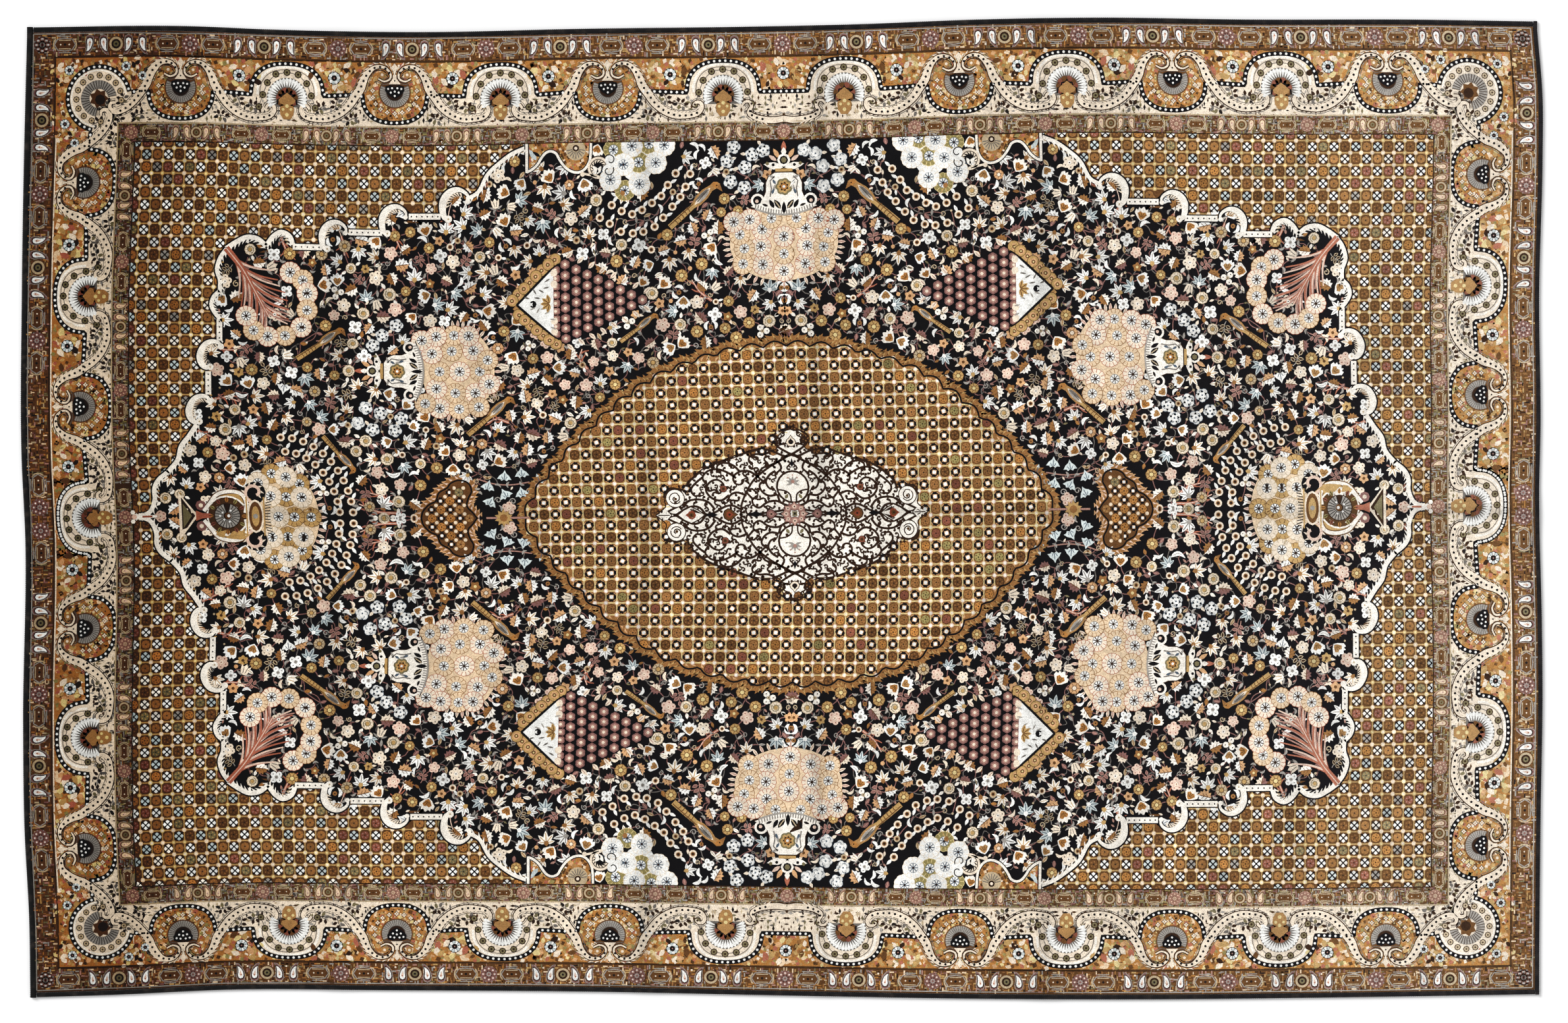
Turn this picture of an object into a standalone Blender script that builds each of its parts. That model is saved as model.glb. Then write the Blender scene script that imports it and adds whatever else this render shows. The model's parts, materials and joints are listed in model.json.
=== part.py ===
"""Persian rug, about 3.05 m by 1.96 m: a knotted pile body with a wrapped cord binding on each of its four edges.

Metres, +Z up. The rug lies on z = 0 with its length along X and the origin under the middle of its outline.
The design is laid out on a straight chart (u along the length, v across the width) and then laid on the floor,
where the edges wander by some millimetres and faint fold creases lift the cloth, as on a rug that was kept folded.
"""

import math

import bpy
import numpy as np

# Driving dimensions, in metres.
RUG_LENGTH = 3.050
RUG_WIDTH = 1.954
BODY_THICKNESS = 0.0070  # knots, weft and pile together
SEAM_GAP = 0.0004  # between the body and a binding, and between two bindings

# The wrapped cord on each edge: its width as seen from above.
BINDING_WIDTH = {"left": 0.014, "right": 0.009, "top": 0.011, "bottom": 0.010}
BINDING_HEIGHT = 0.0085
BINDING_SIDES = 10

# How far each edge wanders outwards from the straight outline, as (place along the edge, outward shift) in mm.
TOP_WANDER = (
    (-1525, -9.2), (-1196, -6.6), (-1037, -13.2), (-719, -18.5), (-401, -11.9), (-83, -7.9),
    (155, -2.6), (393, 6.7), (632, 10.6), (949, 6.7), (1267, 6.7), (1525, 2.7),
)
BOTTOM_WANDER = (
    (-1525, 6.6), (-1355, 1.3), (-1116, -9.3), (-798, -8.0), (-401, -5.3), (0, 2.6),
    (393, 9.2), (711, 10.5), (1108, 6.6), (1525, 0.0),
)
LEFT_WANDER = (
    (-961, -14.0), (-829, -12.1), (-630, -2.1), (-432, 0.5), (-34, -3.4), (98, 3.2),
    (429, 3.2), (694, -0.8), (959, -7.4),
)
RIGHT_WANDER = (
    (-895, -1.8), (-630, 0.9), (-365, 4.9), (-233, 3.6), (32, -1.8), (164, 0.9),
    (429, -1.8), (694, 4.9), (826, 4.9), (959, -5.8),
)

# Fold creases that lift the cloth: place of the ridge, its half width and its height, in metres.
CROSS_CREASES = (
    (-0.898, 0.065, 0.0016),
    (-0.275, 0.055, 0.0012),
    (0.073, 0.055, 0.0012),
    (0.523, 0.065, 0.0016),
)
LONG_CREASE = (-0.008, 0.060, 0.0020)

GRID_STEP = 0.125  # spacing of the body's lines where it lies flat

HALF_LENGTH = RUG_LENGTH / 2
HALF_WIDTH = RUG_WIDTH / 2

# Colours of the two yarns: (red, green, blue), roughness.
PILE_COLOUR, PILE_ROUGHNESS = (0.300, 0.175, 0.085), 0.85
EDGE_COLOUR, EDGE_ROUGHNESS = (0.022, 0.018, 0.016), 0.80


def wander(table, place):
    """Outward shift in metres at a place along an edge: a cubic between the table's rows, level with their run."""
    where, shift = np.array(table, float).T / 1000
    slope = np.gradient(shift, where)
    place = np.clip(place, where[0], where[-1])
    i = np.clip(np.searchsorted(where, place) - 1, 0, len(where) - 2)
    step = where[i + 1] - where[i]
    t = (place - where[i]) / step
    start = shift[i] * (1 + 2 * t) + slope[i] * step * t
    end = shift[i + 1] * (3 - 2 * t) - slope[i + 1] * step * (1 - t)
    return start * (1 - t) ** 2 + end * t**2


def ridge(place, crease):
    """Height of one crease at a distance from its middle: half a cosine wave, and nothing past its half width."""
    middle, half_width, height = crease
    away = np.clip(np.abs(place - middle) / half_width, 0, 1)
    return height * (1 + np.cos(math.pi * away)) / 2


def lift(u, v):
    """How far the cloth stands off the floor at a place on the chart."""
    return sum(ridge(u, crease) for crease in CROSS_CREASES) + ridge(v, LONG_CREASE)


def lay(u, v):
    """Chart to floor: each edge's wander fades to nothing at the opposite edge."""
    to_right, to_top = (1 + u / HALF_LENGTH) / 2, (1 + v / HALF_WIDTH) / 2
    x = u + to_right * wander(RIGHT_WANDER, v) - (1 - to_right) * wander(LEFT_WANDER, v)
    y = v + to_top * wander(TOP_WANDER, u) - (1 - to_top) * wander(BOTTOM_WANDER, u)
    return x, y, lift(u, v)


def stations(low, high, creases):
    """Places of the body's lines: evenly spread, with five across each crease."""
    even = np.linspace(low, high, round((high - low) / GRID_STEP) + 1)
    fine = [middle + part * half for middle, half, _ in creases for part in (-1, -0.5, 0, 0.5, 1)]
    nearest = np.abs(even[:, None] - np.array(fine)[None, :]).min(axis=1)
    kept = even[(nearest > GRID_STEP / 4) | (even == low) | (even == high)]
    return np.sort(np.concatenate([kept, fine]))


def collection(name):
    made = bpy.data.collections.new(name)
    bpy.context.scene.collection.children.link(made)
    return made


def yarn(name, colour, roughness):
    material = bpy.data.materials.new(name)
    material.use_nodes = True
    shader = material.node_tree.nodes["Principled BSDF"]
    shader.inputs["Base Color"].default_value = (*colour, 1.0)
    shader.inputs["Roughness"].default_value = roughness
    shader.inputs["Metallic"].default_value = 0.0
    material.diffuse_color = (*colour, 1.0)
    return material


def pile_body(across, along, material, home):
    """The knotted cloth: a grid that is moved to its laid place, thickened upwards with Solidify."""
    bpy.ops.mesh.primitive_grid_add(x_subdivisions=len(along) - 1, y_subdivisions=len(across) - 1, size=2)
    body = bpy.context.object
    body.name = body.data.name = "rug_body"
    columns = np.empty(len(body.data.vertices) * 3)
    body.data.vertices.foreach_get("co", columns)
    grid_x, grid_y, _ = columns.reshape(-1, 3).T
    column = np.rint((grid_x + 1) / 2 * (len(along) - 1)).astype(int)
    row = np.rint((grid_y + 1) / 2 * (len(across) - 1)).astype(int)
    laid = np.stack(lay(along[column], across[row]), axis=1)
    body.data.vertices.foreach_set("co", laid.ravel())
    body.data.update()
    thickness = body.modifiers.new("pile_height", "SOLIDIFY")
    thickness.thickness = BODY_THICKNESS
    thickness.offset = 1
    thickness.use_even_offset = True
    body.data.materials.append(material)
    for owner in list(body.users_collection):
        owner.objects.unlink(body)
    home.objects.link(body)
    return body


def cord_section(edge, home):
    """Guide: the section of one edge cord, an oval of flat sides with one of them level on the floor."""
    turn = -2 * math.pi * np.arange(BINDING_SIDES) / BINDING_SIDES
    across = BINDING_WIDTH[edge] / 2 * np.cos(turn)
    up = BINDING_HEIGHT / 2 * np.sin(turn) / math.cos(math.pi / BINDING_SIDES)
    curve = bpy.data.curves.new(f"section_{edge}", "CURVE")
    curve.dimensions = "2D"
    line = curve.splines.new("POLY")
    line.points.add(BINDING_SIDES - 1)
    for point, x, y in zip(line.points, across, up):
        point.co = (x, y, 0, 1)
    line.use_cyclic_u = True
    guide = bpy.data.objects.new(f"section_{edge}", curve)
    guide.hide_render = True
    guide.display_type = "WIRE"
    home.objects.link(guide)
    return guide


def edge_binding(name, edge, u, v, material, home, guides):
    """One wrapped cord: its section carried along the laid line of the chart places (u, v)."""
    x, y, z = lay(u, v)
    curve = bpy.data.curves.new(name, "CURVE")
    curve.dimensions = "3D"
    curve.twist_mode = "Z_UP"
    curve.bevel_mode = "OBJECT"
    curve.bevel_object = cord_section(edge, guides)
    curve.use_fill_caps = True
    line = curve.splines.new("POLY")
    line.points.add(len(x) - 1)
    for point, place in zip(line.points, zip(x, y, z + BINDING_HEIGHT / 2)):
        point.co = (*place, 1)
    cord = bpy.data.objects.new(name, curve)
    curve.materials.append(material)
    home.objects.link(cord)
    return cord


def main():
    for old in list(bpy.data.objects):
        bpy.data.objects.remove(old, do_unlink=True)
    pieces, guides = collection("persian_rug"), collection("guides")
    pile = yarn("pile_yarn", PILE_COLOUR, PILE_ROUGHNESS)
    edge = yarn("edge_yarn", EDGE_COLOUR, EDGE_ROUGHNESS)

    body_left = -HALF_LENGTH + BINDING_WIDTH["left"] + SEAM_GAP
    body_right = HALF_LENGTH - BINDING_WIDTH["right"] - SEAM_GAP
    body_bottom = -HALF_WIDTH + BINDING_WIDTH["bottom"] + SEAM_GAP
    body_top = HALF_WIDTH - BINDING_WIDTH["top"] - SEAM_GAP
    along = stations(body_left, body_right, CROSS_CREASES)
    across = stations(body_bottom, body_top, (LONG_CREASE,))
    pile_body(across, along, pile, pieces)

    # The end cords run the whole width and hold the corners; the side cords butt between them.
    full_width = np.concatenate([[-HALF_WIDTH], across, [HALF_WIDTH]])
    for name, u in (
        ("end_binding_left", -HALF_LENGTH + BINDING_WIDTH["left"] / 2),
        ("end_binding_right", HALF_LENGTH - BINDING_WIDTH["right"] / 2),
    ):
        side = name.rsplit("_", 1)[1]
        edge_binding(name, side, np.full(len(full_width), u), full_width, edge, pieces, guides)
    for name, v in (
        ("side_binding_top", HALF_WIDTH - BINDING_WIDTH["top"] / 2),
        ("side_binding_bottom", -HALF_WIDTH + BINDING_WIDTH["bottom"] / 2),
    ):
        side = name.rsplit("_", 1)[1]
        edge_binding(name, side, along, np.full(len(along), v), edge, pieces, guides)


main()
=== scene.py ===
# %% [markdown]
# # A Persian rug laid on a pale floor
#
# The real rug is knotted from a paper chart: every knot is one small square, and the weaver reads the
# chart row by row. This script works the same way. The design is drawn on a flat chart whose unit is one
# knot, with (0, 0) in the middle of the rug, and one function, `lay`, carries the chart to the floor.
# Every figure of the design is a small flat patch of pile that sits a hair above the one below it, so its
# edge stays crisp however close the camera comes. The frame is loaded first, and every piece rides on it.

import json
import math
from collections import namedtuple

import bpy
import numpy as np
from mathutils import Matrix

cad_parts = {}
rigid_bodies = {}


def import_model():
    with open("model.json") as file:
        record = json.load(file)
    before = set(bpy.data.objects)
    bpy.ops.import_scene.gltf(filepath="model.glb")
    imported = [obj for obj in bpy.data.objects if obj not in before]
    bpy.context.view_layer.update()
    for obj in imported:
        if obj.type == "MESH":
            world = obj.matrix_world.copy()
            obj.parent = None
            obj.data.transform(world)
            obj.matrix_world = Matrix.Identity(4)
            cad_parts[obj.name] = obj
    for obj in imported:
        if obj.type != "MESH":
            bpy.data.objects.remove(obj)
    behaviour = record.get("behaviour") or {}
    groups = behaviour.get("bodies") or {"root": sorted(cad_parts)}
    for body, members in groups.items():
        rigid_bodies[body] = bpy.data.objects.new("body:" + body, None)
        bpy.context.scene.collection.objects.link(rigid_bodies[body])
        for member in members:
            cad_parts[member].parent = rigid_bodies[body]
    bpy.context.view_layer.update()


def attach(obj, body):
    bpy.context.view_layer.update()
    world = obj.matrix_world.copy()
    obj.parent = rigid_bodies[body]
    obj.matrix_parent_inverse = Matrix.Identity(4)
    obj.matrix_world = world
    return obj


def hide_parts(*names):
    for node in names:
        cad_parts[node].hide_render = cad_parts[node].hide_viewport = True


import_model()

# %% [markdown]
# ## The chart, and how it is laid on the floor
#
# A hand-made rug is never a true rectangle. Its edges wander by a centimetre or so, old folds leave soft
# ridges, and the design itself slips a little, because the weaver's tension changes from year to year.
# The edges and folds are the same short tables as in the frame. The slip is a third table: how many knots
# the design has moved along and across at a few places, blended evenly between them.

# %% Chart to floor
KNOT = 0.001324  # metres from one knot to the next
HALF_LENGTH, HALF_WIDTH = 1.525, 0.977
BODY_THICKNESS = 0.0070
LAYER = 0.00012  # how far one patch of pile stands above the patch below it

# (place along the edge, outward shift), in mm
TOP_WANDER = (
    (-1525, -9.2), (-1196, -6.6), (-1037, -13.2), (-719, -18.5), (-401, -11.9), (-83, -7.9),
    (155, -2.6), (393, 6.7), (632, 10.6), (949, 6.7), (1267, 6.7), (1525, 2.7),
)
BOTTOM_WANDER = (
    (-1525, 6.6), (-1355, 1.3), (-1116, -9.3), (-798, -8.0), (-401, -5.3), (0, 2.6),
    (393, 9.2), (711, 10.5), (1108, 6.6), (1525, 0.0),
)
LEFT_WANDER = (
    (-961, -14.0), (-829, -12.1), (-630, -2.1), (-432, 0.5), (-34, -3.4), (98, 3.2),
    (429, 3.2), (694, -0.8), (959, -7.4),
)
RIGHT_WANDER = (
    (-895, -1.8), (-630, 0.9), (-365, 4.9), (-233, 3.6), (32, -1.8), (164, 0.9),
    (429, -1.8), (694, 4.9), (826, 4.9), (959, -5.8),
)
# middle, half width and height of each fold, in metres
CROSS_CREASES = (
    (-0.898, 0.065, 0.0016), (-0.275, 0.055, 0.0012), (0.073, 0.055, 0.0012), (0.523, 0.065, 0.0016),
)
LONG_CREASE = (-0.008, 0.060, 0.0020)

# Slip of the design in knots. Rows are places across the rug, columns are places along it.
SLIP_U = np.array([-1153, -985, -400, 0, 400, 985, 1153.0])
SLIP_V = np.array([-730, -574, -330, 0, 330, 574, 730.0])


def slip_table(*rows):
    """Rows of slips across the rug, with none at its two long edges."""
    return np.pad(np.array(rows, float), ((1, 1), (0, 0)))


SLIP_ALONG = slip_table(
    (0, 0, 0, 5, 0, 0, 0), (0, 0, 10, 13, 7, 0, 0), (0, 0, 11, 20, 11, 0, 0), (0, -3, 6, 6, 8, 0, 0),
    (2, 3, 0, 0, 0, 0, 0),
)
SLIP_ACROSS = slip_table(
    (-5, -7, -6, -5, -5, -5.5, -4), (-6, -8, -5, -4, -3, -2, 0), (-11, -11, -11, -4.4, -1, 2, 6),
    (-8, -14, -20, -6, -4, -3, 0), (-5, -6.3, -4, -3, -2, -3, -2),
)


def wander(table, place):
    """Outward shift at a place along an edge: a cubic between the table's rows, level with their run."""
    where, shift = np.array(table, float).T / 1000
    slope = np.gradient(shift, where)
    place = np.clip(place, where[0], where[-1])
    i = np.clip(np.searchsorted(where, place) - 1, 0, len(where) - 2)
    step = where[i + 1] - where[i]
    t = (place - where[i]) / step
    start = shift[i] * (1 + 2 * t) + slope[i] * step * t
    end = shift[i + 1] * (3 - 2 * t) - slope[i + 1] * step * (1 - t)
    return start * (1 - t) ** 2 + end * t**2


def ridge(place, crease):
    """Height of one fold: half a cosine wave about its middle, and nothing past its half width."""
    middle, half_width, height = crease
    away = np.clip(np.abs(place - middle) / half_width, 0, 1)
    return height * (1 + np.cos(math.pi * away)) / 2


def slip(u, v):
    """The design as it slipped: both slip tables, blended between the four places nearest to (u, v)."""
    i = np.clip(np.searchsorted(SLIP_U, u) - 1, 0, len(SLIP_U) - 2)
    j = np.clip(np.searchsorted(SLIP_V, v) - 1, 0, len(SLIP_V) - 2)
    a = np.clip((u - SLIP_U[i]) / (SLIP_U[i + 1] - SLIP_U[i]), 0, 1)
    b = np.clip((v - SLIP_V[j]) / (SLIP_V[j + 1] - SLIP_V[j]), 0, 1)
    moved = [
        (t[j, i] * (1 - a) + t[j, i + 1] * a) * (1 - b) + (t[j + 1, i] * (1 - a) + t[j + 1, i + 1] * a) * b
        for t in (SLIP_ALONG, SLIP_ACROSS)
    ]
    return u + moved[0], v + moved[1]


def lay(u, v, up=0.0):
    """Chart in metres to floor: an edge's wander fades to nothing at the opposite edge; folds lift it."""
    to_right, to_top = (1 + u / HALF_LENGTH) / 2, (1 + v / HALF_WIDTH) / 2
    x = u + to_right * wander(RIGHT_WANDER, v) - (1 - to_right) * wander(LEFT_WANDER, v)
    y = v + to_top * wander(TOP_WANDER, u) - (1 - to_top) * wander(BOTTOM_WANDER, u)
    z = sum(ridge(u, crease) for crease in CROSS_CREASES) + ridge(v, LONG_CREASE) + up
    return np.stack(np.broadcast_arrays(x, y, z), axis=-1)


print("corner of the chart lies at", np.round(lay(np.array(HALF_LENGTH), np.array(HALF_WIDTH)), 4))

# %% [markdown]
# ## The dye pot
#
# A rug like this has nearly thirty dyed wools and silks. They are listed once, by name, and every patch
# says which one it is knotted from. The numbers are ordinary screen colours, turned into the linear light
# that Blender computes with.

# %% Dyes
DYES = {
    "night": (16, 14, 17), "soot": (34, 28, 26), "walnut": (52, 33, 21), "bark": (88, 60, 34),
    "umber": (108, 72, 40), "russet": (140, 84, 66), "rust": (182, 112, 88), "brick": (148, 74, 50),
    "mauve": (142, 102, 96), "rosewood": (180, 138, 124), "blush": (232, 203, 184), "peach": (236, 210, 176),
    "apricot": (218, 172, 126), "copper": (158, 112, 66), "amber": (178, 136, 86), "gold": (196, 160, 104),
    "straw": (230, 210, 152), "sand": (198, 178, 146), "moss": (128, 118, 86), "smoke": (116, 110, 104),
    "ash": (168, 162, 154), "cream": (244, 228, 206), "ivory": (255, 248, 236), "chalk": (249, 248, 243),
    "ice": (204, 213, 211), "slate": (84, 98, 112), "olive": (158, 144, 92), "ochre": (184, 128, 68),
}
DYE_NUMBER = {name: number for number, name in enumerate(DYES)}


def linear(screen):
    """Screen colour (0 to 255) to linear light: the sRGB curve read backwards."""
    part = np.array(screen, float) / 255
    return np.where(part <= 0.04045, part / 12.92, ((part + 0.055) / 1.055) ** 2.4)


DYE_LIGHT = np.array([linear(colour) for colour in DYES.values()])
print(len(DYES), "dyes")

# %% [markdown]
# ## Cutting and joining patches
#
# A patch is a flat drawing: points on the chart, the triangles between them, a dye for each triangle, how
# many layers each point stands up, and a shade, because no two dye lots match. Everything on the rug comes
# from five ways to make a patch: fill a round outline as a fan, sweep a band along a line, fill between two
# lines, repeat a small patch at many places, and mirror a quarter of the design into all four.

# %% Patch makers
Patch = namedtuple("Patch", "points faces dye rise shade")


def patch(points, faces, dye, rise=0.0):
    """Points, triangles and one dye as a patch."""
    points, faces = np.asarray(points, float), np.asarray(faces, int)
    count = len(faces)
    return Patch(
        points, faces, np.full(count, DYE_NUMBER[dye]), np.full(len(points), float(rise)), np.ones(count),
    )


def join(*patches):
    """Patches in one: the corner numbers of each are raised by the points that come before it."""
    start = np.cumsum([0] + [len(p.points) for p in patches[:-1]])
    faces = np.concatenate([p.faces + s for p, s in zip(patches, start)])
    return Patch(
        np.concatenate([p.points for p in patches]), faces,
        *(np.concatenate([p[k] for p in patches]) for k in (2, 3, 4)),
    )


def fill(outline, dye, rise=0.0, centre=None):
    """A closed outline filled as a fan: from its middle, or from its first point if it has few corners."""
    outline = np.asarray(outline, float)
    count = len(outline)
    if centre is None and count <= 8:
        inner = np.arange(1, count - 1)
        return patch(outline, np.stack([np.zeros_like(inner), inner, inner + 1], 1), dye, rise)
    middle = outline.mean(axis=0) if centre is None else np.asarray(centre, float)
    ring = np.arange(count)
    faces = np.stack([np.full(count, count), ring, (ring + 1) % count], 1)
    return patch(np.vstack([outline, middle]), faces, dye, rise)


def circle(radius, corners=8, centre=(0, 0), lobes=0, depth=0.0, turn=0.0):
    """Round outline: radius * (1 - depth * |cos(lobes * angle / 2)|), so it is cut in where lobes meet."""
    angle = 2 * math.pi * np.arange(corners) / corners + turn
    reach = radius * (1 - depth * np.abs(np.cos(
        lobes * (angle - turn) / 2
    ))) if lobes else np.full(corners, radius)
    return np.stack([centre[0] + reach * np.cos(angle), centre[1] + reach * np.sin(angle)], 1)


def disc(radius, dye, corners=8, centre=(0, 0), rise=0.0, **shape):
    """A filled circle or lobed rosette."""
    return fill(circle(radius, corners, centre, **shape), dye, rise, centre if corners > 8 or shape else None)


def between(first, second, dye, rise=0.0, closed=False):
    """Fill between two lines with the same number of points: a ladder of triangles."""
    first, second = np.asarray(first, float), np.asarray(second, float)
    count = len(first)
    here = np.arange(count if closed else count - 1)
    there = (here + 1) % count
    faces = np.concatenate([
        np.stack([here, there, count + there], 1), np.stack([here, count + there, count + here], 1),
    ])
    points = np.vstack([first, second])
    a, b, c = points[faces[0]]
    upward = (b - a)[0] * (c - a)[1] - (b - a)[1] * (c - a)[0]
    return patch(points, faces if upward >= 0 else faces[:, ::-1], dye, rise)


def heading(path):
    """Unit direction of a line at each of its points, and the direction to its left."""
    along = np.gradient(path, axis=0)
    along /= np.maximum(np.linalg.norm(along, axis=1, keepdims=True), 1e-9)
    return along, np.stack([-along[:, 1], along[:, 0]], 1)


def band(path, width, dye, rise=0.0, shift=0.0):
    """A band of a given width (one, or one at each point) swept along a line, shift knots to its left."""
    path = np.asarray(path, float)
    _, left = heading(path)
    half = np.broadcast_to(np.asarray(width, float) / 2, len(path))[:, None]
    path = path + left * np.broadcast_to(shift, len(path))[:, None]
    return between(path - left * half, path + left * half, dye, rise)


def spaced(path, step):
    """The same line with its points an even step apart, measured along it."""
    path = np.asarray(path, float)
    run = np.concatenate([[0], np.cumsum(np.linalg.norm(np.diff(path, axis=0), axis=1))])
    count = max(2, round(run[-1] / step) + 1)
    at = np.linspace(0, run[-1], count)
    return np.stack([np.interp(at, run, path[:, 0]), np.interp(at, run, path[:, 1])], 1)


def bend(points, step=6.0):
    """A smooth line through a few points: a cubic between two of them, its slope from their neighbours."""
    points = np.asarray(points, float)
    slope = np.gradient(points, axis=0)
    t = np.linspace(0, 1, 12, endpoint=False)[None, :, None]
    a, b, ma, mb = points[:-1, None], points[1:, None], slope[:-1, None], slope[1:, None]
    line = a * (1 + 2 * t) * (1 - t) ** 2 + ma * t * (1 - t) ** 2 + b * t**2 * (
        3 - 2 * t
    ) - mb * t**2 * (1 - t)
    return spaced(np.vstack([line.reshape(-1, 2), points[-1:]]), step)


def arc(centre, radius, start, end, count, across=None):
    """Part of a circle or an oval, from one angle to another, in degrees."""
    angle = np.radians(np.linspace(start, end, count))
    return np.stack([centre[0] + radius * np.cos(angle), centre[1] + (across or radius) * np.sin(angle)], 1)


def curl(radius, start, turns, count=14, core=0.15):
    """A spiral line about (0, 0): the radius shrinks evenly to core of its size while the angle runs on."""
    t = np.linspace(0, 1, count)
    angle = math.radians(start) + 2 * math.pi * turns * t
    reach = radius * (1 - (1 - core) * t)
    return np.stack([reach * np.cos(angle), reach * np.sin(angle)], 1)


def repeat(one, at, turn=0.0, size=1.0, flip=False, shade=1.0):
    """A patch set down at many places: each copy is flipped, turned (radians), sized and moved."""
    at = np.atleast_2d(np.asarray(at, float))
    count = len(at)
    turn, size, shade = (np.broadcast_to(np.asarray(x, float), count) for x in (turn, size, shade))
    flip = np.broadcast_to(flip, count)
    x = np.where(flip[:, None], -one.points[None, :, 0], one.points[None, :, 0]) * size[:, None]
    y = one.points[None, :, 1] * size[:, None]
    cos, sin = np.cos(turn)[:, None], np.sin(turn)[:, None]
    points = np.stack([x * cos - y * sin + at[:, :1], x * sin + y * cos + at[:, 1:]], 2).reshape(-1, 2)
    faces = np.where(flip[:, None, None], one.faces[None, :, ::-1], one.faces[None])
    faces = (faces + (np.arange(count) * len(one.points))[:, None, None]).reshape(-1, 3)
    shades = (one.shade[None] * shade[:, None]).ravel()
    return Patch(points, faces, np.tile(one.dye, count), np.tile(one.rise, count), shades)


def flipped(one, way=(-1, 1)):
    """The patch's mirror image, left to right unless told otherwise."""
    return one._replace(points=one.points * way, faces=one.faces[:, ::-1])


def mirror(one, along=True, across=True):
    """The patch with its mirror images: left to right, top to bottom, or both for all four quarters."""
    if along:
        one = join(one, flipped(one))
    if across:
        one = join(one, flipped(one, (1, -1)))
    return one


def whole(half):
    """A symmetric outline: its half, then the mirror image backwards without the points on the axis."""
    return half + [(-x, y) for x, y in half[::-1] if x]


def grid(us, vs):
    """Every place of a grid, row by row."""
    return np.stack(np.meshgrid(us, vs), 2).reshape(-1, 2)


def trimmed(one, limits):
    """The patch cut off at +-limits: points past one are drawn back to it, and flattened triangles go."""
    points = np.clip(one.points, -np.asarray(limits, float), limits)
    a, b, c = (points[one.faces[:, k]] for k in range(3))
    area = (b - a)[:, 0] * (c - a)[:, 1] - (b - a)[:, 1] * (c - a)[:, 0]
    kept = area > 0.05
    used, faces = np.unique(one.faces[kept], return_inverse=True)
    return Patch(points[used], faces.reshape(-1, 3), one.dye[kept], one.rise[used], one.shade[kept])


def covers(one, places):
    """True for each place on one of the patch's triangles: it is to the left of all three sides."""
    on = np.zeros(len(places), bool)
    for a, b, c in one.points[one.faces]:
        left = [
            (q - p)[0] * (places[:, 1] - p[1]) - (q - p)[1] * (places[:, 0] - p[0]) >= 0
            for p, q in ((a, b), (b, c), (c, a))
        ]
        on |= left[0] & left[1] & left[2]
    return on


def dyed(one, dye):
    """The patch knotted all over from another dye."""
    return one._replace(dye=np.full(len(one.faces), DYE_NUMBER[dye]))


def lifted(one, layers):
    """The patch some layers higher."""
    return one._replace(rise=one.rise + layers)


def studs(path, step, radius, dye, rise=0.0, corners=6):
    """Small dots an even step apart along a line."""
    line = spaced(path, step)
    return repeat(disc(radius, dye, corners, rise=rise), (line[1:] + line[:-1]) / 2)


def teeth(path, step, offset, length, dye, rise=0.0, wide=0.7, lean=0.5):
    """Saw teeth along a line: each stands offset knots to the line's left, and leans along it."""
    line = spaced(path, step)
    along, left = heading(line)
    foot = line + left * offset
    half = along * step * wide / 2
    tip = foot + left * length + along * step * lean
    count = len(line)
    points = np.stack([foot - half, foot + half, tip], 1).reshape(-1, 2)
    faces = np.arange(3 * count).reshape(-1, 3)
    return patch(points, faces if length > 0 else faces[:, ::-1], dye, rise)


print("patch makers ready; a rosette has", len(disc(8, "cream", 16, lobes=8, depth=0.2).faces), "triangles")

# %% [markdown]
# ## The pile, as a finish
#
# Cut silk pile has two looks at once. Each knot takes the dye a little differently, which gives a fine
# speckle. And the fibres stand up, so the surface has a soft sheen at the edges of folds instead of a
# shine. The dye itself comes from an attribute on the mesh, with painted shade along the folds and a painted
# sheen along the rug multiplied in, and everything else reads Object coordinates.

# %% Pile material
def node(tree, kind, **settings):
    """One shader node with its settings."""
    made = tree.nodes.new(kind)
    for name, value in settings.items():
        setattr(made, name, value)
    return made


def link(tree, *pairs):
    """Links given as (from socket, to socket)."""
    for out, into in pairs:
        tree.links.new(out, into)


def blend(tree, kind, first, second, amount=1.0):
    """Two colours blended: returns the colour that comes out."""
    made = node(tree, "ShaderNodeMix", data_type="RGBA", blend_type=kind)
    made.inputs[0].default_value = amount
    for socket, value in ((made.inputs[6], first), (made.inputs[7], second)):
        if isinstance(value, bpy.types.NodeSocket):
            tree.links.new(value, socket)
        else:
            socket.default_value = value
    return made.outputs[2]


def spread(tree, value, low, high, out_low, out_high):
    """A number carried from one range to another."""
    made = node(tree, "ShaderNodeMapRange")
    tree.links.new(value, made.inputs[0])
    for k, x in enumerate((low, high, out_low, out_high)):
        made.inputs[k + 1].default_value = x
    return made.outputs[0]


def noise(tree, place, scale, detail=2, stretch=(1, 1, 1)):
    """Noise at a place, with finer steps the bigger its scale is, and stretched by direction."""
    stretched = node(tree, "ShaderNodeMapping")
    stretched.inputs["Scale"].default_value = stretch
    cloud = node(tree, "ShaderNodeTexNoise")
    cloud.inputs["Scale"].default_value = scale
    cloud.inputs["Detail"].default_value = detail
    link(tree, (place, stretched.inputs["Vector"]), (stretched.outputs[0], cloud.inputs["Vector"]))
    return cloud.outputs["Fac"]


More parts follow.
